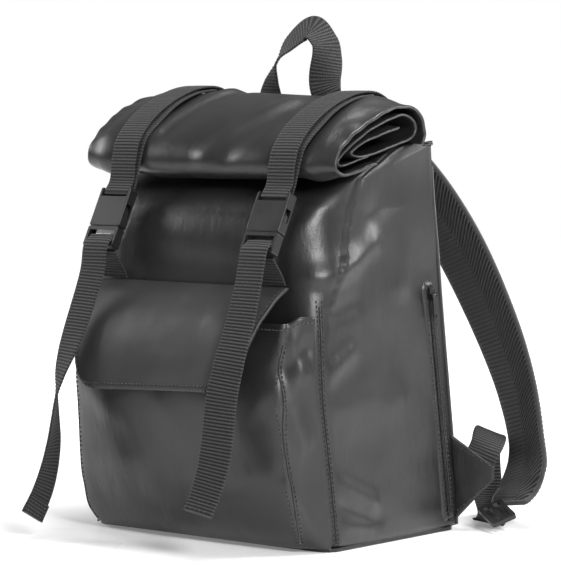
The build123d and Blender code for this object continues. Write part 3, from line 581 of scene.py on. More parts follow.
# ---- what repeats: stitches and teeth, set along lines by Geometry Nodes -----------------
def repeat_tree(name, primitive, sizes, material):
    """Sets one small shape at even steps along each line of a piece."""
    tree = bpy.data.node_groups.new(name, "GeometryNodeTree")
    face = tree.interface
    face.new_socket("Geometry", in_out="INPUT", socket_type="NodeSocketGeometry")
    pitch = face.new_socket("Pitch", in_out="INPUT", socket_type="NodeSocketFloat")
    size = face.new_socket("Size", in_out="INPUT", socket_type="NodeSocketVector")
    face.new_socket("Geometry", in_out="OUTPUT", socket_type="NodeSocketGeometry")
    nodes, links = tree.nodes, tree.links
    start, end = nodes.new("NodeGroupInput"), nodes.new("NodeGroupOutput")
    curve = nodes.new("GeometryNodeMeshToCurve")
    spaced = nodes.new("GeometryNodeResampleCurve")
    spaced.mode = "LENGTH"
    tangent = nodes.new("GeometryNodeInputTangent")
    turn = nodes.new("FunctionNodeAlignRotationToVector")
    turn.axis = "X"
    shape = nodes.new(primitive)
    for socket, value in sizes.items():
        shape.inputs[socket].default_value = value
    put = nodes.new("GeometryNodeInstanceOnPoints")
    real = nodes.new("GeometryNodeRealizeInstances")
    smooth = nodes.new("GeometryNodeSetShadeSmooth")
    paint = nodes.new("GeometryNodeSetMaterial")
    paint.inputs["Material"].default_value = material
    for a, b in (
        (start.outputs["Geometry"], curve.inputs["Mesh"]),
        (curve.outputs["Curve"], spaced.inputs["Curve"]),
        (start.outputs["Pitch"], spaced.inputs["Length"]),
        (tangent.outputs[0], turn.inputs["Vector"]),
        (spaced.outputs["Curve"], put.inputs["Points"]),
        (shape.outputs["Mesh"], put.inputs["Instance"]),
        (turn.outputs["Rotation"], put.inputs["Rotation"]),
        (start.outputs["Size"], put.inputs["Scale"]),
        (put.outputs["Instances"], real.inputs["Geometry"]),
        (real.outputs["Geometry"], smooth.inputs["Geometry"]),
        (smooth.outputs["Geometry"], paint.inputs["Geometry"]),
        (paint.outputs["Geometry"], end.inputs["Geometry"]),
    ):
        links.new(a, b)
    return tree, pitch.identifier, size.identifier


def repeat_along(name, lines, tree_facts, pitch, size, material):
    """One plain mesh with the tree's shape set along every line."""
    vertices, edges = [], []
    for line in lines:
        first = len(vertices)
        vertices += [tuple(p) for p in np.asarray(line) * MM]
        edges += [(i, i + 1) for i in range(first, len(vertices) - 1)]
    mesh = bpy.data.meshes.new(name)
    mesh.from_pydata(vertices, edges, [])
    guide = linked(name, mesh)
    tree, pitch_id, size_id = tree_facts
    modifier = guide.modifiers.new("repeat", "NODES")
    modifier.node_group = tree
    modifier[pitch_id] = pitch * MM
    modifier[size_id] = [s * MM for s in size]
    bpy.context.view_layer.update()
    ready = guide.evaluated_get(bpy.context.evaluated_depsgraph_get())
    result = bpy.data.meshes.new_from_object(ready)
    guide.modifiers.clear()
    guide.data = result
    if not result.materials:
        result.materials.append(material)
    return guide


def stitches(name, lines, body, slot="grey_leather"):
    own = settings().stitch
    size = (own.length / 2, own.radius, own.radius)
    made = repeat_along(name, lines, shared["stitch_tree"], own.pitch, size, shared["thread"])
    return settle(made, body, slot)


# ---- shape of the bag --------------------------------------------------------------------
BAG = [  # height, half width, front, back, radius of the front corner
    (0, 139.5, -84.0, 101.5, 12), (12, 140.5, -86.5, 101.5, 12), (70, 140.0, -94.0, 96.0, 12),
    (140, 138.5, -103.5, 88.5, 14), (205, 136.0, -103.5, 82.5, 20), (245, 134.0, -99.0, 80.0, 34),
    (287, 132.0, -91.0, 77.0, 40), (312, 130.5, -76.0, 75.5, 34), (335, 129.5, -60.0, 74.5, 24),
]
BAG_FOOT = 3.4
BAG_SHOULDER = 300
BAG_TURN_IN = 306           # the loop that turns in under the roll
BAG_BACK_TOP = 350.0
BACK_CHANNEL_HALF = 9       # half the open channel between the back's cushions
BACK_PUFF = 7.5
ROOF = [                    # (y, z) of the skin that turns in under the roll
    (-74.0, 314.0), (-58.0, 322.5), (-34.0, 333.0), (-12.0, 344.5), (10.0, 352.0), (38.0, 354.5),
    (62.0, 355.0),
]
LINING_SHARE = np.array([0.955, 0.93])      # of the skin's width and depth
SIDE_CROWN = 4.0
FRONT_CROWN = 5.0
ZIP_TAPE_HALF = 5.5
BAG_FOLDS = [               # start, end, width and height of each soft fold
    ((144, -44, 322), (130, -84, 306), 13, 5.0), ((130, -84, 306), (112, -106, 282), 15, 6.0),
    ((112, -106, 282), (104, -110, 250), 15, 3.0), ((128, -92, 240), (144, -50, 250), 12, 3.0),
    ((-140, -44, 322), (-124, -88, 306), 8, 7.0), ((-124, -88, 306), (-112, -106, 276), 9, 8.0),
    ((140, -98, 228), (142, -20, 268), 10, 3.6), ((140, -90, 204), (142, -48, 216), 9, -1.8),
    ((140, -94, 150), (142, -58, 172), 9, 2.8), ((140, -90, 120), (142, -30, 136), 12, 1.8),
    ((140, -60, 110), (142, 6, 128), 16, 1.8), ((140, -84, 64), (142, -30, 40), 8, 3.0),
    ((140, -84, 46), (142, -20, 22), 6, -2.6), ((140, -80, 24), (142, -34, 14), 6, 2.4),
    ((140, -20, 292), (142, 40, 330), 12, -3.0), ((140, 20, 230), (142, 40, 320), 14, 2.4),
    ((-140, -96, 232), (-142, -30, 262), 9, 3.4), ((-140, -92, 190), (-142, -30, 166), 9, 2.8),
    ((-140, -60, 90), (-142, 30, 70), 14, 2.4), ((-140, 0, 300), (-142, 50, 330), 12, -2.6),
    ((-70, -104, 280), (60, -104, 262), 16, 1.4), ((-80, -96, 306), (70, -94, 300), 8, -2.2),
    ((84, -104, 300), (100, -106, 262), 8, 3.0), ((-84, -104, 300), (-100, -106, 262), 8, 3.0),
]


def bag_at(z):
    """Half width, front, back and corner radius at a height."""
    return ramp(BAG, z)[0]


def bag_loop(z, columns):
    """Points round the bag at a height, from its back left corner over the front to the right."""
    half, front, back, corner = bag_at(z)
    t = np.linspace(-1, 1, columns)
    side_run, arc_run, front_run = back - front - corner, corner * math.pi / 2, 2 * (half - corner)
    total = 2 * side_run + 2 * arc_run + front_run
    s = (t + 1) / 2 * total
    points = np.zeros((columns, 2))
    for i, d in enumerate(s):
        mirror = -1 if d < total / 2 else 1
        d = min(d, total - d)
        if d < side_run:
            y = back - d
            crown = 1 - (2 * (back - y) / (back - front) - 1) ** 2
            points[i] = (mirror * (half + SIDE_CROWN * crown), y)
        elif d < side_run + arc_run:
            turn = (d - side_run) / corner
            x = half - corner + corner * math.cos(turn)
            points[i] = (mirror * x, front + corner - corner * math.sin(turn))
        else:
            x = half - corner - (d - side_run - arc_run)
            bulge = FRONT_CROWN * (1 - (x / half) ** 2) ** 2
            points[i] = (mirror * x, front - bulge)
    return points


def bag_grid(levels=96, columns=190):
    rows = []
    for z in np.linspace(BAG_FOOT, BAG_SHOULDER, levels):
        loop = bag_loop(z, columns)
        rows.append(np.column_stack([loop, np.full(columns, z)]))
    flat = bag_loop(BAG_TURN_IN, columns)
    back = bag_at(BAG_TURN_IN)[2]
    for front, rise in through([(y, z, 0) for y, z in ROOF], 5.0)[0][:, :2]:
        share = (flat[:, 1] - flat[:, 1].min()) / (back - flat[:, 1].min())
        y = front + (back - 1.5 - front) * share
        z = rise + (BAG_BACK_TOP + 4 - rise) * share ** 1.1
        rows.append(np.column_stack([flat[:, 0], y, z]))
    grid = np.array(rows)
    push = folds(grid, BAG_FOLDS) * settings().leather.crease
    plain = 0.3 + 0.7 * blend_in(80, 125, np.abs(grid[..., 0]))
    push += (1.8 * seeded_noise(grid, 62.0, 3.0) + 0.35 * seeded_noise(grid, 24.0, 9.0)) * plain
    push *= blend_in(2, 24, grid[..., 2])
    seam = ramp(BAG, grid[:, 0, 2])[:, 1][:, None] + 10
    near_seam = np.exp(-((grid[..., 1] - seam) / 9.0) ** 2) * (np.abs(grid[..., 0]) > 118)
    push *= 1 - near_seam * (1 - blend_in(224, 240, grid[..., 2]))
    near_zip = np.exp(-((grid[..., 1] - zip_y(grid[..., 2])) / 13.0) ** 2) * (grid[..., 0] > 120)
    push *= 1 - near_zip * (grid[..., 2] < 235)
    calm_back = blend_in(0, 12, bag_at(100)[2] - grid[..., 1])
    return pushed(grid, push * (0.25 + 0.75 * calm_back))


def zip_y(z):
    top, bottom = zip_line()
    return top[1] + (bottom[1] - top[1]) * (top[2] - z) / (top[2] - bottom[2])


def zip_line():
    """Top and bottom of the zip's middle, from its tape in the frame."""
    low, high = cad_box("zip_tape")
    return (np.array([high[0], low[1] + ZIP_TAPE_HALF, high[2]]),
            np.array([high[0], high[1] - ZIP_TAPE_HALF, low[2]]))


shared = {}                 # finishes, Geometry Nodes trees and grids that later steps use


class BACKPACK_OT_materials(bpy.types.Operator):
    """Make the leather, webbing, plastic, metal and cloth finishes"""
    bl_idname = "backpack.materials"
    bl_label = "Finishes"

    def execute(self, context):
        own = settings()
        grey = own.leather.colour
        rough = own.leather.roughness
        shared["leather"] = leather_material("grey_leather", grey, rough, 0.28)
        shared["flap_leather"] = leather_material(
            "flap_leather", own.leather.flap_colour, rough + 0.14, 0.15)
        shared["webbing"] = webbing_material("black_webbing", own.webbing.colour)
        shared["mesh"] = mesh_material("air_mesh", (0.010, 0.010, 0.0105))
        shared["plastic"] = plastic_material("black_plastic", (0.008, 0.008, 0.0085), 0.38)
        shared["board"] = plastic_material("base_board", (0.05, 0.05, 0.05), 0.5)
        shared["lining"] = cloth_material("lining_cloth", (0.03, 0.03, 0.033))
        shared["tape"] = cloth_material("zip_tape", (0.012, 0.012, 0.013))
        shared["metal"] = metal_material("zip_metal", (0.03, 0.03, 0.032), 0.35)
        shared["thread"] = cloth_material("thread", (0.004, 0.004, 0.004))
        shared["binding"] = cloth_material("binding", (0.022, 0.022, 0.023))
        shared["stitch_tree"] = repeat_tree(
            "stitches", "GeometryNodeMeshIcoSphere", {"Radius": 1.0, "Subdivisions": 1},
            shared["thread"])
        shared["tooth_tree"] = repeat_tree(
            "zip_teeth", "GeometryNodeMeshCube", {"Size": (1, 1, 1)}, shared["plastic"])
        return {"FINISHED"}


class BACKPACK_OT_bag(bpy.types.Operator):
    """Make the main bag's skin, its padded back and its lining"""
    bl_idname = "backpack.bag"
    bl_label = "Main bag"

    def execute(self, context):
        leather = settings().leather.thickness
        grid = bag_grid()
        shared["bag_grid"] = grid
        skin = sheet("bag_skin", grid, leather, shared["leather"])
        settle(skin, "bag", "grey_leather",
               "front_panel", "side_panel_left", "side_panel_right", "neck_front")
        self.back()
        self.inside()
        dress("base_panel", "leather")
        dress("base_board", "board")
        return {"FINISHED"}

    def back(self):
        """A padded back panel with two columns of cushions and a channel between them."""
        rows, levels = [], np.linspace(BAG_FOOT + 0.2, BAG_BACK_TOP + 1, 90)
        for z in levels:
            half, _, back, _ = bag_at(z)
            x = np.linspace(2.6 - half, half - 2.6, 90)
            column = np.clip((np.abs(x) - BACK_CHANNEL_HALF) / (half - 20), 0, 1)
            level = (z - 8) / (BAG_BACK_TOP - 16) * 3 % 1
            puff = (np.sin(column * math.pi) ** 0.55) * (math.sin(level * math.pi) ** 0.4)
            y = back - 1.2 + BACK_PUFF * np.nan_to_num(puff)
            rows.append(np.column_stack([x, y, np.full(90, z)]))
        outer = np.array(rows)
        inner = outer.copy()
        inner[..., 1] = [[bag_at(z)[2] - 9.0] for z in levels]
        uv = np.stack([-np.abs(outer[..., 0]), outer[..., 2]], axis=2)
        pad = slab("back_pad", outer, inner, shared["mesh"], uv)
        settle(pad, "bag", "air_mesh", "back_panel", "back_foam")
        edge = []
        for z in np.linspace(4, BAG_BACK_TOP - 16, 12):
            half, _, back, _ = bag_at(z)
            edge.append((half - 1.6, back + 1.6, z))
        for name, side in SIDES:
            piping = tube(f"back_piping_{name}", [(side * x, y, z) for x, y, z in edge], 1.9,
                          shared["binding"])
            settle(piping, "bag", "grey_leather")

    def inside(self):
        """The lining follows the skin inside it, and the sleeve stands before its back."""
        grid = []
        for z in np.linspace(8, BAG_SHOULDER, 40):
            loop = bag_loop(z, 90)
            loop *= LINING_SHARE
            grid.append(np.column_stack([loop[:, 0], loop[:, 1] - 3, np.full(90, z)]))
        lining = sheet("lining_bag", np.array(grid), 0.9, shared["lining"])
        back = []
        for z in np.linspace(8, BAG_SHOULDER, 20):
            half, _, y, _ = bag_at(z)
            x = np.linspace(-half * 0.95, half * 0.95, 24)
            back.append(np.column_stack([x, np.full(24, y - 15.5), np.full(24, z)]))
        behind = sheet("lining_back", np.array(back), 0.9, shared["lining"])
        sleeve = []
        for z in np.linspace(10, 235, 20):
            half, _, y, _ = bag_at(z)
            x = np.linspace(-half * 0.9, half * 0.9, 24)
            sag = 2.5 * np.cos(x / half * math.pi / 2)
            sleeve.append(np.column_stack([x, y - 35.5 - sag, np.full(24, z)]))
        pocket = sheet("sleeve", np.array(sleeve), 1.2, shared["lining"])
        settle(lining, "bag", "lining", "lining")
        settle(behind, "bag", "lining")
        settle(pocket, "bag", "lining", "laptop_sleeve")


# ---- front pocket and flap ---------------------------------------------------------------
POCKET = [  # height, half width of the front, its corner's y, bulge of the middle
    (4, 120.0, -100.5, 4), (16, 124.8, -109.0, 5), (40, 125.5, -117.0, 8), (80, 123.5, -124.0, 14),
    (138, 121.0, -129.5, 19), (172, 121.0, -128.5, 10), (203, 122.5, -125.5, -2),
]
POCKET_FOLDS = [
    ((126, -126, 196), (134, -114, 158), 9, 3.2), ((122, -130, 160), (136, -110, 180), 8, -2.6),
    ((118, -132, 140), (70, -150, 118), 14, 3.0), ((124, -126, 128), (134, -108, 100), 10, 3.0),
    ((110, -134, 70), (40, -140, 52), 18, 2.0), ((124, -122, 60), (132, -104, 30), 8, 1.8),
    ((90, -134, 30), (-20, -128, 22), 14, -1.6), ((-118, -132, 150), (-70, -148, 120), 16, 2.4),
    ((-110, -134, 60), (-40, -142, 76), 18, 1.8), ((0, -150, 120), (40, -146, 60), 26, 1.2),
    ((104, -138, 176), (60, -146, 150), 9, -2.0), ((-128, -120, 190), (-136, -110, 150), 8, 2.4),
]


def pocket_loop(z, columns):
    half, corner, bulge = ramp(POCKET, z)[0]
    side, front, _, _ = bag_at(z)
    wall = (side + 0.2, front + 3.0)
    top = blend_in(150, 205, z)
    key = [(wall[0], wall[1]), ((wall[0] + half) / 2 + 1 + 1.5 * top, (wall[1] + corner) / 2),
           (half + 0.8, corner + 5), (half - 1.5, corner + 0.6),
           (half - 9, corner - bulge * 0.13 - 0.6)]
    for t in (0.78, 0.6, 0.4, 0.2):
        key.append((half * t, corner - bulge * (1 - t ** 2) - 0.6))
    key.append((0, corner - bulge - 0.6))
    key += [(-x, y) for x, y in key[-2::-1]]
    dense, run = through([(-x, y, 0) for x, y in key], 1.0)
    at = np.linspace(0, run[-1], columns)
    return np.stack([np.interp(at, run, dense[:, i]) for i in (0, 1)], axis=1)


class BACKPACK_OT_pocket(bpy.types.Operator):
    """Make the front pocket with its gussets, its hem and its floor"""
    bl_idname = "backpack.pocket"
    bl_label = "Front pocket"

    def execute(self, context):
        columns = 170
        rows = []
        foot = pocket_loop(4, columns)
        wall = bag_at(0)[1]
        for share in (0.0, 0.35, 0.7, 0.9):
            line = foot.copy()
            line[:, 1] = wall + (foot[:, 1] - wall) * share
            rows.append(np.column_stack([line, np.full(columns, 2.6 + share)]))
        for z in np.linspace(4, 200, 76):
            rows.append(np.column_stack([pocket_loop(z, columns), np.full(columns, z)]))
        grid = np.array(rows)
        lift = blend_in(110, 200, grid[..., 2])
        away = blend_in(121, 132, np.abs(grid[..., 0]))
        grid[..., 2] += lift * (1.0 + 6.0 * away)
        push = folds(grid, POCKET_FOLDS) * settings().leather.crease
        push += 1.4 * seeded_noise(grid, 55.0, 21.0) + 0.5 * seeded_noise(grid, 22.0, 2.0)
        push *= blend_in(4, 22, grid[..., 2])
        push *= blend_in(-96, -108, grid[..., 1])
        grid = pushed(grid, push)
        skin = sheet("pocket_skin", grid, settings().leather.thickness, shared["leather"], 0.9)
        settle(skin, "bag", "grey_leather",
               "pocket_front", "pocket_gusset_left", "pocket_gusset_right", "pocket_bottom")
        shared["pocket_grid"] = grid
        return {"FINISHED"}


FLAP_LINE = [(0.0, 4.0), (5.0, 0.5), (17.0, -8.5), (35.0, -28.0), (48.0, -55.0), (55.0, -78.0),
             (57.5, -88.0)]          # forward of the hinge, and up from it
FLAP_TOP_HALF = 113
FLAP_NARROWING = 17
FLAP_CORNER = 30.0


class BACKPACK_OT_flap(bpy.types.Operator):
    """Make the pocket's flap"""
    bl_idname = "backpack.flap"
    bl_label = "Flap"

    def execute(self, context):
        y0, z0 = (place / MM for place in cad_joint("flap_open")["pos_m"][1:])
        path, run = through([(y0 - f, z0 + up, 0) for f, up in FLAP_LINE], 1.6)
        length = run[-1]
        t = np.linspace(-1, 1, 96)
        t = np.sign(t) * (1 - (1 - np.abs(t)) ** 1.25)
        rows = []
        for (y, z, _), s in zip(path, run):
            half = FLAP_TOP_HALF - FLAP_NARROWING * s / length
            left = length - s
            if left < FLAP_CORNER:
                half -= FLAP_CORNER - math.sqrt(max(FLAP_CORNER**2 - (FLAP_CORNER - left) ** 2, 0))
            x = half * t
            edge = blend_in(0.55, 1.0, np.abs(x) / 112)
            drape = 5.0 * edge * blend_in(0, 40, s)
            slope = s / length
            skew = np.where(x < 0, 4.5, -3.5) * np.abs(x) / 100 * slope
            rows.append(np.column_stack([x, y + drape, z - skew + 2 * edge * slope]))
        grid = np.array(rows)[:, ::-1]
        push = 1.2 * seeded_noise(grid, 60.0, 5.0) + 0.4 * seeded_noise(grid, 20.0, 8.0)
        push += folds(grid, [((-70, -150, 190), (20, -160, 170), 22, 1.4),
                             ((60, -145, 205), (100, -150, 165), 14, 1.6)])
        grid = pushed(grid, push * blend_in(0, 14, z0 - grid[..., 2] + 4))
        flap = sheet("flap_skin", grid, 3.4, shared["flap_leather"], 0.55)
        settle(flap, "flap", "grey_leather", "flap")
        rim = np.concatenate([grid[6:, 3], grid[-4, 3:-3], grid[6:, -4][::-1]])
        shared["flap_rim"] = rim + np.array([0, -0.4, 0])
        return {"FINISHED"}


# ---- rolled neck -------------------------------------------------------------------------
ROLL = [  # the outer turn, from the back over the top and in under the nose
    (40.0, 358.0), (43.0, 370.0), (38.0, 384.0), (24.0, 394.5), (4.0, 397.5), (-18.0, 392.5),
    (-42.0, 382.0), (-64.0, 368.5), (-80.0, 354.0), (-87.5, 340.5), (-85.0, 330.0), (-74.0, 326.0),
    (-56.0, 329.5), (-34.0, 337.0),
]
ROLL_INNER = [
    (-34.0, 346.0), (-58.0, 338.5), (-74.0, 335.5), (-79.0, 341.0), (-73.0, 350.0), (-56.0, 363.0),
    (-36.0, 374.5), (-12.0, 384.0), (10.0, 388.5), (26.0, 384.0), (33.0, 374.0), (27.0, 364.0),
    (8.0, 358.0), (-20.0, 350.0), (-48.0, 345.0), (-60.0, 350.0), (-48.0, 360.0), (-20.0, 370.0),
    (4.0, 376.0),
]
ROLL_FOLDS = [
    ((-76, -78, 356), (-48, 6, 398), 9, 3.0), ((-62, -70, 364), (-34, 10, 398), 9, -2.4),
    ((0, -86, 340), (44, -20, 390), 12, 2.6), ((24, -84, 345), (62, -30, 386), 11, -2.2),
    ((112, 10, 398), (128, -70, 352), 8, 2.4), ((-112, 10, 398), (-128, -70, 352), 8, 2.4),
]
NECK_BACK = [(75.5, 344), (74, 352), (66, 358), (55, 364), (45, 369)]
ROLL_TILT = 4.5             # how much higher the left end of the roll lies
STRAP_AT = 94.0             # the closing straps' distance from the middle


def tilt(points):
    """Leans the roll and what lies on it: its left end is higher."""
    points = np.array(points, float)
    share = blend_in(312, 360, points[..., 2])
    points[..., 2] -= points[..., 0] / 150 * ROLL_TILT * share
    return points


class BACKPACK_OT_roll(bpy.types.Operator):
    """Make the rolled neck with its open ends"""
    bl_idname = "backpack.roll"
    bl_label = "Rolled neck"

    def execute(self, context):
        outer = self.turn(ROLL, 150.0, 0.0, 11.0)
        skin = sheet("roll_skin", outer, 2.6, shared["leather"], 0.8)
        inner = self.turn(ROLL_INNER, 145.0, 0.8, 17.0)
        core = sheet("roll_turns", inner[:, ::-1], 2.2, shared["leather"], 0.8)
        settle(skin, "bag", "grey_leather", "roll_outer")
        settle(core, "bag", "grey_leather", "roll_core")
        self.back_of_neck()
        return {"FINISHED"}

    def turn(self, path, half, loose, seed):
        line, run = through([(y, z, 0) for y, z in path], 2.2)
        x = np.linspace(-1, 1, 150)
        x = np.sign(x) * np.abs(x) ** 0.9
        grid = drawn_across(line, x)
        lip = 2.5 * np.sin(run / run[-1] * math.pi * 3 + seed)
        grid[..., 0] *= half + lip[:, None] * blend_in(0.8, 1, np.abs(x))[None]
        strap = np.exp(-((np.abs(grid[..., 0]) - STRAP_AT) / 17) ** 2)
        end = blend_in(118, 150, np.abs(grid[..., 0]))
        push = 3.0 * (1 - strap) * (1 - end) - 0.4
        push += 1.2 * seeded_noise(grid * [0.6, 1, 1], 55.0, seed)
        push += 0.3 * seeded_noise(grid * [0.4, 1, 1], 24.0, seed)
        push += 1.8 * end * seeded_noise(grid, 15.0, seed + 2)
        push += folds(grid, ROLL_FOLDS)
        push *= 1 - 0.85 * strap
        if loose:
            push *= -0.4
        grid = pushed(grid[:, ::-1], push[:, ::-1])
        grid[..., 2] += (360 - grid[..., 2]) * end[:, ::-1] * 0.1
        return tilt(grid)

    def back_of_neck(self):
        path, _ = through([(y, z, 0) for y, z in NECK_BACK], 2)
        grid = drawn_across(path, np.linspace(-115, 115, 90))[:, ::-1]
        grid = pushed(grid, 0.8 * seeded_noise(grid, 26.0, 4.0))
        neck = sheet("neck_back_skin", tilt(grid), 2.4, shared["leather"])
        settle(neck, "bag", "grey_leather", "neck_back")


# ---- closing straps, buckles and tails ---------------------------------------------------
STRAP = [
    (79.5, 316.0), (79.0, 346.0), (67.5, 371.0), (48.0, 389.5), (31.0, 400.0), (14.0, 403.5),
    (-11.0, 401.0), (-41.0, 391.0), (-68.5, 375.5), (-88.0, 356.0), (-94.5, 338.0),
]
TAILS = {   # aside from the strap, y, z, degrees that it is turned about Z
    "right": [(0.0, -139.0, 236.0, 0.0), (0.0, -150.0, 203.0, 5.0), (-0.5, -161.0, 176.0, 9.0),
              (-1.5, -166.5, 158.0, 12.0), (-3.0, -171.0, 138.0, 14.0), (-6.0, -174.0, 98.0, 14.0),
              (-8.5, -177.0, 76.0, 12.0), (-11.0, -183.0, 57.0, 10.0), (-13.0, -191.0, 41.0, 8.0)],
    "left": [(0.0, -138.0, 236.0, 0.0), (-2.5, -156.0, 190.0, -4.0), (-4.5, -165.0, 168.0, -14.0),
             (-7.5, -171.0, 148.0, -30.0), (-10.5, -173.0, 127.0, -48.0),
             (-13.0, -172.5, 104.0, -60.0), (-15.5, -172.0, 84.0, -70.0),
             (-18.0, -175.0, 62.0, -78.0), (-20.0, -182.0, 41.0, -84.0),
             (-23.0, -193.0, 20.0, -88.0)],
}
BUCKLE_TILT = math.radians(27)
DOWN = np.array([-math.sin(BUCKLE_TILT), -math.cos(BUCKLE_TILT)])
OUT = np.array([-math.cos(BUCKLE_TILT), math.sin(BUCKLE_TILT)])
SOCKET_HALF_DEPTH = 5.0
SOCKET_LENGTH = 38.0
SOCKET_BAR_AT = 2.6
SOCKET_TURN = 2.0 + 0.35 + 0.9      # the bar's radius, the play and half the webbing
PLUG_TURN = 2.6
ANCHOR_FACE = -106.0
PLUG_BAR_AT = 48.5
PLUG_END = 58.0


def buckle_top(name):
    """(y, z) of the middle of the buckle's upper end, from its socket in the frame."""
    low, high = cad_box(f"buckle_socket_{name}")
    y = high[1] - SOCKET_HALF_DEPTH * math.cos(BUCKLE_TILT)
    z = low[2] + SOCKET_HALF_DEPTH * math.sin(BUCKLE_TILT) + SOCKET_LENGTH * math.cos(BUCKLE_TILT)
    return np.array([y, z])


def buckle_yz(name, s, n):
    """(y, z) at a distance down the buckle and out from its middle."""
    return buckle_top(name) + s * DOWN + n * OUT


class BACKPACK_OT_straps(bpy.types.Operator):
    """Make the two closing straps, their sewn layers, anchors and hanging tails"""
    bl_idname = "backpack.straps"
    bl_label = "Closing straps"

    def execute(self, context):
        for name, side in SIDES:
            self.closing(name, side)
            self.anchor(name, side)
            self.tail(name, side)
            for node in ("buckle_socket", "buckle_plug", "prong_outer", "prong_inner"):
                dress(f"{node}_{name}", "plastic")
        return {"FINISHED"}

    def closing(self, name, side):
        x = side * STRAP_AT
        turn = [buckle_yz(name, SOCKET_BAR_AT + SOCKET_TURN * math.sin(a),
                          SOCKET_TURN * math.cos(a)) for a in np.radians([0, 45, 90, 135, 180])]
        route = [(x, y, z) for y, z in STRAP]
        route.append((x, *buckle_yz(name, -9, 1.6)))
        route += [(x, y, z) for y, z in turn]
        route.append((x + 0.6, *buckle_yz(name, -9, -1.9)))
        route += [(x + 2.6, -89.5, 341.0), (x + 3.6, -83.0, 356.5), (x + 4.6, -66.0, 371.5),
                  (x + 4.0, -40.5, 387.6), (x + 3.0, -11.5, 397.6), (x + 2.0, 14.0, 400.6)]
        stations = [(p, (1, 0, 0)) for p in tilt(route)]
        strap = ribbon(f"closing_webbing_{name}", stations, shared["webbing"], cup=0.3)
        settle(strap, "bag", "black_webbing", f"closing_strap_{name}")
        box = [(x - 12, 80.6, 319), (x + 12, 80.6, 319), (x + 12, 80.4, 341), (x - 12, 80.4, 341),
               (x - 12, 80.6, 319), (x + 12, 80.4, 341)]
        stitches(f"strap_stitches_{name}", [straight(box)], "bag", "black_webbing")

    def anchor(self, name, side):
        path = [(ANCHOR_FACE, 233.0), (ANCHOR_FACE - 4.0, 241.0),
                buckle_yz(name, PLUG_END + 1.6, -6.2), buckle_yz(name, 54.0, -6.2),
                buckle_yz(name, PLUG_BAR_AT, -3.45)]
        stations = [((side * STRAP_AT, y, z), (1, 0, 0)) for y, z in path]
        strap = ribbon(f"anchor_webbing_{name}", stations, shared["webbing"], width=29.0)
        settle(strap, "bag", "black_webbing", f"strap_anchor_{name}")

    def tail(self, name, side):
        x = side * STRAP_AT
        points = []
        for degrees in (76, 102, 128, 154, 180):
            a = math.radians(degrees)
            place = buckle_yz(name, PLUG_BAR_AT - PLUG_TURN * math.sin(a), -PLUG_TURN * math.cos(a))
            points.append((x, *place, 0))
        for past, lift in ((-3.5, 1.3), (0.0, 1.5), (5.0, 1.0)):
            points.append((x, *buckle_yz(name, PLUG_END + past, 4.5 + lift), 0))
        points += [(x + aside, y, z, turned) for aside, y, z, turned in TAILS[name]]
        stations = [((px, py, pz), (math.cos(math.radians(a)), math.sin(math.radians(a)), 0))
                    for px, py, pz, a in points]
        strap = ribbon(f"tail_webbing_{name}", stations, shared["webbing"], cup=0.5)
        settle(strap, f"tail_{name}", "black_webbing", f"strap_tail_{name}")
        self.folded_end(name, stations)

    def folded_end(self, name, stations):
        """The tail's end is folded back over itself and sewn with two rows."""
        line, _ = through([(*p, *w) for p, w in stations], 1.0)
        end = line[:, :3]
        wide, normal = strap_frame(end, unit(line[:, 3:]))
        cover = [(p - n * 1.95, w) for p, n, w in zip(end[-17:], normal[-17:], wide[-17:])]
        fold = ribbon(f"tail_fold_{name}", cover, shared["webbing"], width=29.4, thickness=1.7)
        settle(fold, f"tail_{name}", "black_webbing")
        rows = []
        for back in (-4, -13):
            middle, w, n = end[back], wide[back], normal[back]
            for lift in (-3.1, 1.25):
                rows.append([middle + w * k + n * lift for k in np.linspace(-12.5, 12.5, 9)])
        stitches(f"tail_stitches_{name}", rows, f"tail_{name}", "black_webbing")


def straight(corners, step=1.0):
    """Points at even steps on straight runs between corners."""
    corners = np.array(corners, float)
    points = []
    for a, b in zip(corners, corners[1:]):
        count = max(int(np.linalg.norm(b - a) / step), 1)
        points += [a + (b - a) * k / count for k in range(count)]
    points.append(corners[-1])
    return np.array(points)


# ---- zip ---------------------------------------------------------------------------------
WELT = [                    # the welt's section: out from the opening, and up
    (-1.6, -0.2), (-1.5, 0.5), (-0.6, 0.9), (1.4, 0.5), (3.4, -0.6), (5.4, -2.2), (7.4, -4.2),
]
ZIP_BELOW = 11.0            # tape before the slider's rest, and past its far end
ZIP_ABOVE = 13.0
ZIP_SLIDER_RISE = 3.65      # the middle of the slider and its lugs above the tape


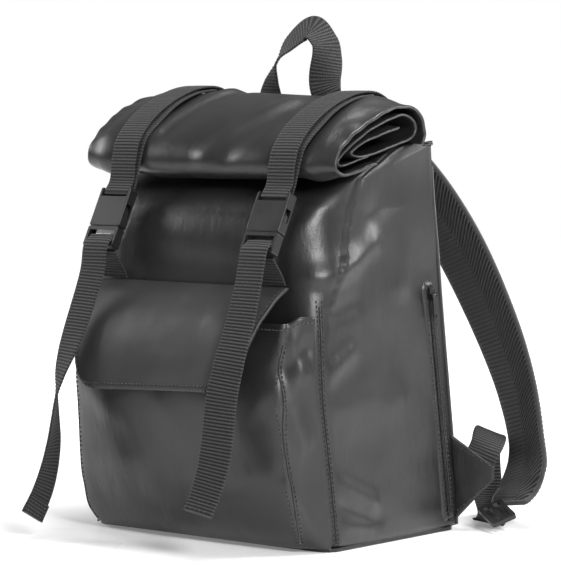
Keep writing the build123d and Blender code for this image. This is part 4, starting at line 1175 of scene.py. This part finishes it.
class BACKPACK_OT_zip(bpy.types.Operator):
    """Make the side zip's tape, teeth and leather welt"""
    bl_idname = "backpack.zip"
    bl_label = "Side zip"

    def execute(self, context):
        joint = cad_joint("zip_slide")
        along = np.array(joint["axis"], float)
        low, high = cad_box("zip_slider")
        out = np.array([1.0, 0, 0])
        out = unit(out - along * (out @ along))
        wide = np.cross(out, along)
        reach = joint["range_m"][1] / MM
        start = (low + high) / 2 - out * ZIP_SLIDER_RISE

        def at(s, w, n):
            return start + along * s + wide * w + out * n

        first, last = -ZIP_BELOW, reach + ZIP_ABOVE
        rows = [[at(s, w, 0.25 * math.cos(w * 1.4)) for w in np.linspace(-5.4, 5.4, 15)]
                for s in np.linspace(first, last, 90)]
        tape = sheet("zip_ribbon", np.array(rows)[:, ::-1], 0.8, shared["tape"])
        settle(tape, "bag", "zip_tape", "zip_tape", "zip_teeth")
        lines = [[at(s + shift, w, 0.75) for s in np.linspace(-2, reach + 6, 60)]
                 for w, shift in ((-0.8, 0.0), (0.8, 0.8))]
        teeth = repeat_along("zip_chain", lines, shared["tooth_tree"], 1.6, (0.85, 2.0, 1.3),
                             shared["plastic"])
        settle(teeth, "bag", "zip_tape")
        for node in ("zip_slider", "zip_puller", "zip_stops"):
            dress(node, "metal")
        self.welt(at, first, last)
        return {"FINISHED"}

    def welt(self, at, first, last):
        """A turned leather edge all round the zip, sewn down."""
        ring, seam = [], []
        mid, half = (first + last) / 2, (last - first) / 2
        for k in range(161):
            a = k / 160 * 2 * math.pi
            squared = np.array([abs(math.cos(a)) ** 0.12 * np.sign(math.cos(a)),
                                abs(math.sin(a)) ** 0.35 * np.sign(math.sin(a))])
            s = mid + squared[0] * (half - 3.0)
            w = squared[1] * 4.6
            tip = np.array([squared[0] * (abs(squared[0]) > 0.995), squared[1]])
            away = tip / max(np.linalg.norm(tip), 1e-6)
            ring.append([at(s + away[0] * reach, w + away[1] * reach, lift)
                         for reach, lift in WELT])
            seam.append(at(s + away[0], w + away[1], 0.75))
        welt = sheet("zip_welt", np.array(ring), 1.2, shared["leather"])
        settle(welt, "bag", "grey_leather")
        stitches("zip_stitches", [seam], "bag")


# ---- handle ------------------------------------------------------------------------------
HANDLE = [
    ((-37.0, 50.0, 378.0), (1.00, 0.00, 0.00)), ((-37.0, 46.0, 396.0), (1.00, -0.10, 0.00)),
    ((-36.0, 46.0, 412.0), (0.90, -0.44, 0.00)), ((-32.0, 49.0, 430.0), (0.64, -0.77, 0.00)),
    ((-21.0, 54.0, 447.0), (0.70, -0.60, -0.40)), ((0.0, 59.0, 461.0), (0.36, -0.57, -0.74)),
    ((16.0, 60.0, 449.0), (-0.10, -0.90, -0.42)), ((22.0, 57.0, 434.0), (-0.42, -0.90, -0.10)),
    ((25.0, 50.0, 412.0), (-0.85, -0.40, 0.10)), ((32.0, 46.0, 396.0), (-1.00, -0.10, 0.00)),
    ((36.0, 50.0, 376.0), (-1.00, 0.00, 0.00)),
]
PATCH_HEM = 3               # from the patch's edge to its stitches


class BACKPACK_OT_handle(bpy.types.Operator):
    """Make the grab handle and the patch that it is sewn to"""
    bl_idname = "backpack.handle"
    bl_label = "Grab handle"

    def execute(self, context):
        handle = ribbon("handle_webbing", HANDLE, shared["webbing"], thickness=2.0)
        settle(handle, "handle", "black_webbing", "grab_handle")
        low, high = cad_box("handle_patch")
        path = np.array([(high[1], z) for z in np.linspace(low[2], high[2], 18)])
        grid = drawn_across(path, np.linspace(low[0], high[0], 40))
        patch = sheet("patch_skin", grid[:, ::-1], 1.6, shared["leather"])
        settle(patch, "bag", "grey_leather", "handle_patch")
        y = high[1] + 0.2
        (left, _, foot), (right, _, head) = low + PATCH_HEM, high - PATCH_HEM
        rim = [(left, y, foot), (right, y, foot), (right, y, head), (left, y, head),
               (left, y, foot)]
        stitches("patch_stitches", [straight(rim)], "bag")
        return {"FINISHED"}


# ---- shoulder straps ---------------------------------------------------------------------
PAD = [
    ((57.0, 98.0, 350.0), (1.00, 0.00, 0.00)), ((65.0, 113.0, 337.0), (1.00, 0.00, 0.00)),
    ((82.0, 133.0, 304.0), (1.00, -0.02, 0.00)), ((103.0, 151.0, 260.0), (0.99, -0.08, 0.00)),
    ((122.0, 165.0, 212.0), (0.98, -0.16, 0.00)), ((141.0, 175.0, 160.0), (0.95, -0.26, 0.00)),
    ((155.0, 180.0, 112.0), (0.90, -0.38, 0.00)), ((166.0, 176.0, 68.0), (0.86, -0.48, -0.08)),
    ((172.0, 158.0, 38.0), (0.84, -0.50, -0.16)), ((175.0, 134.0, 22.0), (0.82, -0.50, -0.24)),
]
ADJUSTER = [
    ((158.0, 105.0, 58.0), (0.60, 0.10, -0.79)), ((161.0, 119.0, 77.0), (0.75, -0.10, -0.60)),
    ((152.0, 139.0, 86.0), (0.85, 0.20, -0.40)), ((133.0, 162.0, 82.0), (0.80, 0.55, -0.20)),
    ((114.0, 184.0, 66.0), (0.45, 0.85, 0.00)), ((108.0, 193.0, 43.0), (0.45, 0.85, 0.00)),
    ((115.0, 187.0, 20.0), (0.60, 0.75, 0.00)), ((134.0, 168.0, 8.0), (0.80, 0.60, 0.00)),
    ((152.0, 140.0, 6.0), (0.90, 0.30, 0.00)), ((164.0, 118.0, 6.5), (0.86, -0.45, -0.08)),
]
WING_TIP = (180.0, 104.0, 54.0)
PAD_WIDTH = 62.0
PAD_HALF_THICKNESS = 4.6


def flipped(stations, side):
    return [((side * p[0], p[1], p[2]), (side * w[0], w[1], w[2])) for p, w in stations]


class BACKPACK_OT_shoulder_straps(bpy.types.Operator):
    """Make the padded shoulder straps, their webbing, yokes and wings"""
    bl_idname = "backpack.shoulder_straps"
    bl_label = "Shoulder straps"

    def execute(self, context):
        for name, side in SIDES:
            self.pad(name, side)
            self.webbing(name, side)
            self.yoke(name, side)
            self.wing(name, side)
            dress(f"ladder_lock_{name}", "plastic")
        return {"FINISHED"}

    def pad(self, name, side):
        stations = [(*p, *w) for p, w in flipped(PAD, side)]
        line, run = through(stations, 2.0)
        middle = line[:, :3]
        wide, normal = strap_frame(middle, line[:, 3:] * side)
        normal = normal * side
        across = np.sin(np.linspace(-math.pi / 2, math.pi / 2, 41)) / 2
        width = PAD_WIDTH * (1 - 0.42 * blend_in(run[-1] - 46, run[-1], run))
        crown = np.sqrt(np.clip(1 - (2 * across) ** 6, 0, 1)) * 0.6 + 0.4
        puff = 1.0 + 0.10 * np.sin(run / 11.0)[:, None] * (1 - (2 * across[None]) ** 2)
        base = middle[:, None] + wide[:, None] * (across[None] * width[:, None])[..., None]
        thick = PAD_HALF_THICKNESS * crown[None] * puff
        to_end = np.minimum(run, run[-1] - run)[:, None]
        ends = blend_in(-2, 10, to_end) * 0.7 + 0.3
        half = normal[:, None] * (thick * ends)[..., None]
        top, bottom = base + half, base - half
        uv = np.stack(np.broadcast_arrays(across[None] * width[:, None], run[:, None]), axis=2)
        facing = normal[len(normal) // 2][1] > 0
        skins = [shared["leather"], shared["mesh"]]
        upper, lower = skins if facing else skins[::-1]
        pad = slab(f"padded_strap_{name}", top, bottom, upper, uv, lower)
        settle(pad, f"shoulder_{name}", "air_mesh", f"shoulder_pad_{name}")
        loop = [base[i, 0] for i in range(2, len(run) - 2, 5)]
        loop += [base[-2, j] for j in range(4, 37, 8)]
        loop += [base[i, -1] for i in range(len(run) - 3, 2, -5)]
        binding = tube(f"pad_binding_{name}", loop, 2.5, shared["binding"], step=2.0)
        settle(binding, f"shoulder_{name}", "air_mesh")
        out = 1 if facing else -1
        face = base + normal[:, None] * (thick * out)[..., None]
        rows = [face[4:-4, j] + normal[4:-4] * out * 0.2 for j in (3, 37)]
        stitches(f"pad_stitches_{name}", rows, f"shoulder_{name}")

    def webbing(self, name, side):
        strap = ribbon(f"adjuster_strap_{name}", flipped(ADJUSTER, side), shared["webbing"])
        settle(strap, f"shoulder_{name}", "black_webbing", f"adjuster_webbing_{name}")

    def yoke(self, name, side):
        path, _ = through([(81.5, 326, 0), (81.2, 338, 0), (81.5, 347, 0), (85, 353.5, 0)], 1.5)
        grid = drawn_across(path, np.linspace(26.5, 75.5, 30) * side)
        if side > 0:
            grid = grid[:, ::-1]
        yoke = sheet(f"yoke_{name}", grid, 3.0, shared["leather"])
        settle(yoke, "bag", "grey_leather", f"strap_yoke_{name}")
        rim = [(side * 29, 81.9, 344), (side * 29, 81.8, 328.5), (side * 73, 81.8, 328.5),
               (side * 73, 81.9, 344)]
        stitches(f"yoke_stitches_{name}", [straight(rim)], "bag")

    def wing(self, name, side):
        """A triangle of leather that anchors the lower end of the strap."""
        rows = []
        for v in np.linspace(0, 1, 24):
            root_z = 8 + 80 * v
            half, _, back, _ = bag_at(root_z)
            root = np.array([half - 0.5, back - 3.0, root_z])
            tip = WING_TIP + np.array([-0.4 * abs(v - 0.5), 0, 12 * v - 6])
            u = np.linspace(0, 1, 30)[:, None]
            row = root + (tip - root) * u
            puff = 1.6 * math.sin(math.pi * v) ** 0.5
            row[:, 1] -= puff * np.sin(np.pi * u[:, 0]) ** 0.5 * 0.6
            row[:, 0] *= side
            rows.append(row)
        grid = np.array(rows)
        grid = grid[:, ::-1] if side < 0 else grid
        grid = pushed(grid, 0.7 * seeded_noise(grid, 16.0, 6.0))
        wing = sheet(f"wing_skin_{name}", grid, 3.2, shared["leather"], 0.7)
        settle(wing, "bag", "grey_leather", f"wing_{name}")
        normals = grid_normals(grid)
        lines = [grid[2] + normals[2] * 0.1, grid[-3] + normals[-3] * 0.1]
        stitches(f"wing_stitches_{name}", lines, "bag")


# ---- seams -------------------------------------------------------------------------------
BAG_SEAM = (6, 226)         # lowest and highest point of each seam
POCKET_SEAM = (8, 197)


class BACKPACK_OT_seams(bpy.types.Operator):
    """Sew the stitch lines of the bag, the pocket and the flap"""
    bl_idname = "backpack.seams"
    bl_label = "Seams"

    def execute(self, context):
        bag, pocket = shared["bag_grid"], shared["pocket_grid"]
        lines = [self.seam(bag, side, shift, False) for side in (1, -1) for shift in (2.2, 6.4)]
        stitches("bag_stitches", lines, "bag")
        for name, side in SIDES:
            for place, grid, shift in (("bag", bag, 4.3), ("pocket", pocket, 0.2)):
                line = self.seam(grid, side, shift, place == "pocket")
                fold = tube(f"{place}_seam_{name}", line[::3], 0.7, shared["thread"], sides=8)
                settle(fold, "bag", "grey_leather")
        normals = grid_normals(pocket)
        lines = [self.seam(pocket, side, shift, True) for side in (1, -1) for shift in (-2.6, 2.6)]
        lines.append((pocket[-3] + normals[-3] * 0.35)[2:-2])
        stitches("pocket_stitches", lines, "bag")
        stitches("flap_stitches", [shared["flap_rim"]], "flap")
        return {"FINISHED"}

    def seam(self, grid, side, shift, on_pocket):
        """A line that keeps its distance from the corner of the bag or of its pocket."""
        normals = grid_normals(grid)
        middle = grid.shape[1] // 2
        line = []
        for points, ways in zip(grid, normals):
            z = points[middle, 2]
            half = slice(middle, None) if side > 0 else slice(middle, None, -1)
            points, ways = points[half], ways[half]
            if on_pocket:
                if not POCKET_SEAM[0] < z < POCKET_SEAM[1]:
                    continue
                corner = ramp(POCKET, z)[0]
                if shift < 0:
                    measure, target = np.abs(points[:, 0]), corner[0] + shift
                    reach = measure < corner[0]
                else:
                    measure, target = points[:, 1], corner[1] + 1.5 + shift
                    reach = np.abs(points[:, 0]) > corner[0] - 4
            else:
                if not BAG_SEAM[0] < z < BAG_SEAM[1]:
                    continue
                _, front, _, corner = bag_at(z)
                measure, target = points[:, 1], front + min(corner, 16) * 0.5 + shift
                reach = np.abs(points[:, 0]) > 100
            order = np.argsort(measure[reach])
            known = measure[reach][order]
            place, way = (np.array([np.interp(target, known, row[reach][order, k])
                                    for k in range(3)]) for row in (points, ways))
            line.append(place + way * 0.5)
        return through(line[::4], 2.0)[0]


# ---- stage -------------------------------------------------------------------------------
FLOOR_HALF = 6000.0
LIGHTS = (                  # place and width in metres, and share of the key light's power
    ("left", (-2.2, -0.6, 1.3), 0.8, 0.22), ("key", (2.5, -1.2, 1.6), 0.9, 1.0),
    ("rim", (1.6, 2.0, 1.5), 1.0, 0.5), ("top", (0.2, 0.3, 2.4), 0.8, 0.6),
)
LIGHTS_AIM = Vector((0, 0, 0.2))
CAMERA_AIM = Vector((0.0134, 0.0, 0.2245))


class BACKPACK_OT_stage(bpy.types.Operator):
    """Set the floor, the soft lights and the camera"""
    bl_idname = "backpack.stage"
    bl_label = "Stage"

    def execute(self, context):
        own = settings().stage
        scene = context.scene
        world = scene.world or bpy.data.worlds.new("studio")
        scene.world = world
        world.use_nodes = True
        nodes, links = world.node_tree.nodes, world.node_tree.links
        back = nodes["Background"]
        back.inputs["Color"].default_value = (1, 1, 1, 1)
        seen = nodes.new("ShaderNodeMapRange")
        seen.inputs["To Min"].default_value = own.room
        links.new(nodes.new("ShaderNodeLightPath").outputs["Is Camera Ray"], seen.inputs["Value"])
        links.new(seen.outputs["Result"], back.inputs["Strength"])
        scene.view_settings.view_transform = "Standard"
        corners = [(x * FLOOR_HALF, y * FLOOR_HALF, 0)
                   for x, y in ((-1, -1), (1, -1), (1, 1), (-1, 1))]
        floor = new_object("floor", corners, [(0, 1, 2, 3)], None,
                           floor_material("studio_floor", own.floor_colour), False)
        for name, place, wide, share in LIGHTS:
            data = bpy.data.lights.new(name, "AREA")
            data.size = wide
            data.energy = own.key_power * share
            lamp = linked(name, data)
            lamp.location = place
            aim = LIGHTS_AIM - Vector(place)
            lamp.rotation_euler = aim.to_track_quat("-Z", "Y").to_euler()
        way = Vector((math.sin(own.azimuth) * math.cos(own.elevation),
                      -math.cos(own.azimuth) * math.cos(own.elevation), math.sin(own.elevation)))
        data = bpy.data.cameras.new("camera")
        data.lens = own.lens
        data.sensor_width = 36.0
        data.clip_end = 50
        camera = linked("camera", data)
        camera.location = CAMERA_AIM + way * own.distance
        camera.rotation_euler = (-way).to_track_quat("-Z", "Y").to_euler()
        scene.camera = camera
        return {"FINISHED"}


STEPS = (
    BACKPACK_OT_materials, BACKPACK_OT_bag, BACKPACK_OT_pocket, BACKPACK_OT_flap, BACKPACK_OT_roll,
    BACKPACK_OT_straps, BACKPACK_OT_zip, BACKPACK_OT_handle, BACKPACK_OT_shoulder_straps,
    BACKPACK_OT_seams, BACKPACK_OT_stage,
)


class BackpackSettings(bpy.types.PropertyGroup):
    leather: PointerProperty(type=LeatherSettings, name="Leather", description="Leather")
    webbing: PointerProperty(type=WebbingSettings, name="Webbing", description="Webbing")
    stitch: PointerProperty(type=StitchSettings, name="Stitches", description="Stitches")
    stage: PointerProperty(type=StageSettings, name="Stage", description="Stage")


class BACKPACK_PT_panel(bpy.types.Panel):
    """The steps that build the bag, in order"""
    bl_idname = "BACKPACK_PT_panel"
    bl_label = "Backpack"
    bl_space_type = "VIEW_3D"
    bl_region_type = "UI"
    bl_category = "Backpack"

    def draw(self, context):
        for step in STEPS:
            self.layout.operator(step.bl_idname)


CLASSES = (LeatherSettings, WebbingSettings, StitchSettings, StageSettings, BackpackSettings,
           *STEPS, BACKPACK_PT_panel)


def register():
    for item in CLASSES:
        bpy.utils.register_class(item)
    bpy.types.Scene.backpack = PointerProperty(type=BackpackSettings)


def unregister():
    del bpy.types.Scene.backpack
    for item in reversed(CLASSES):
        bpy.utils.unregister_class(item)


def main():
    register()
    for step in STEPS:
        group, action = step.bl_idname.split(".")
        getattr(getattr(bpy.ops, group), action)()


if __name__ == "__main__":
    main()
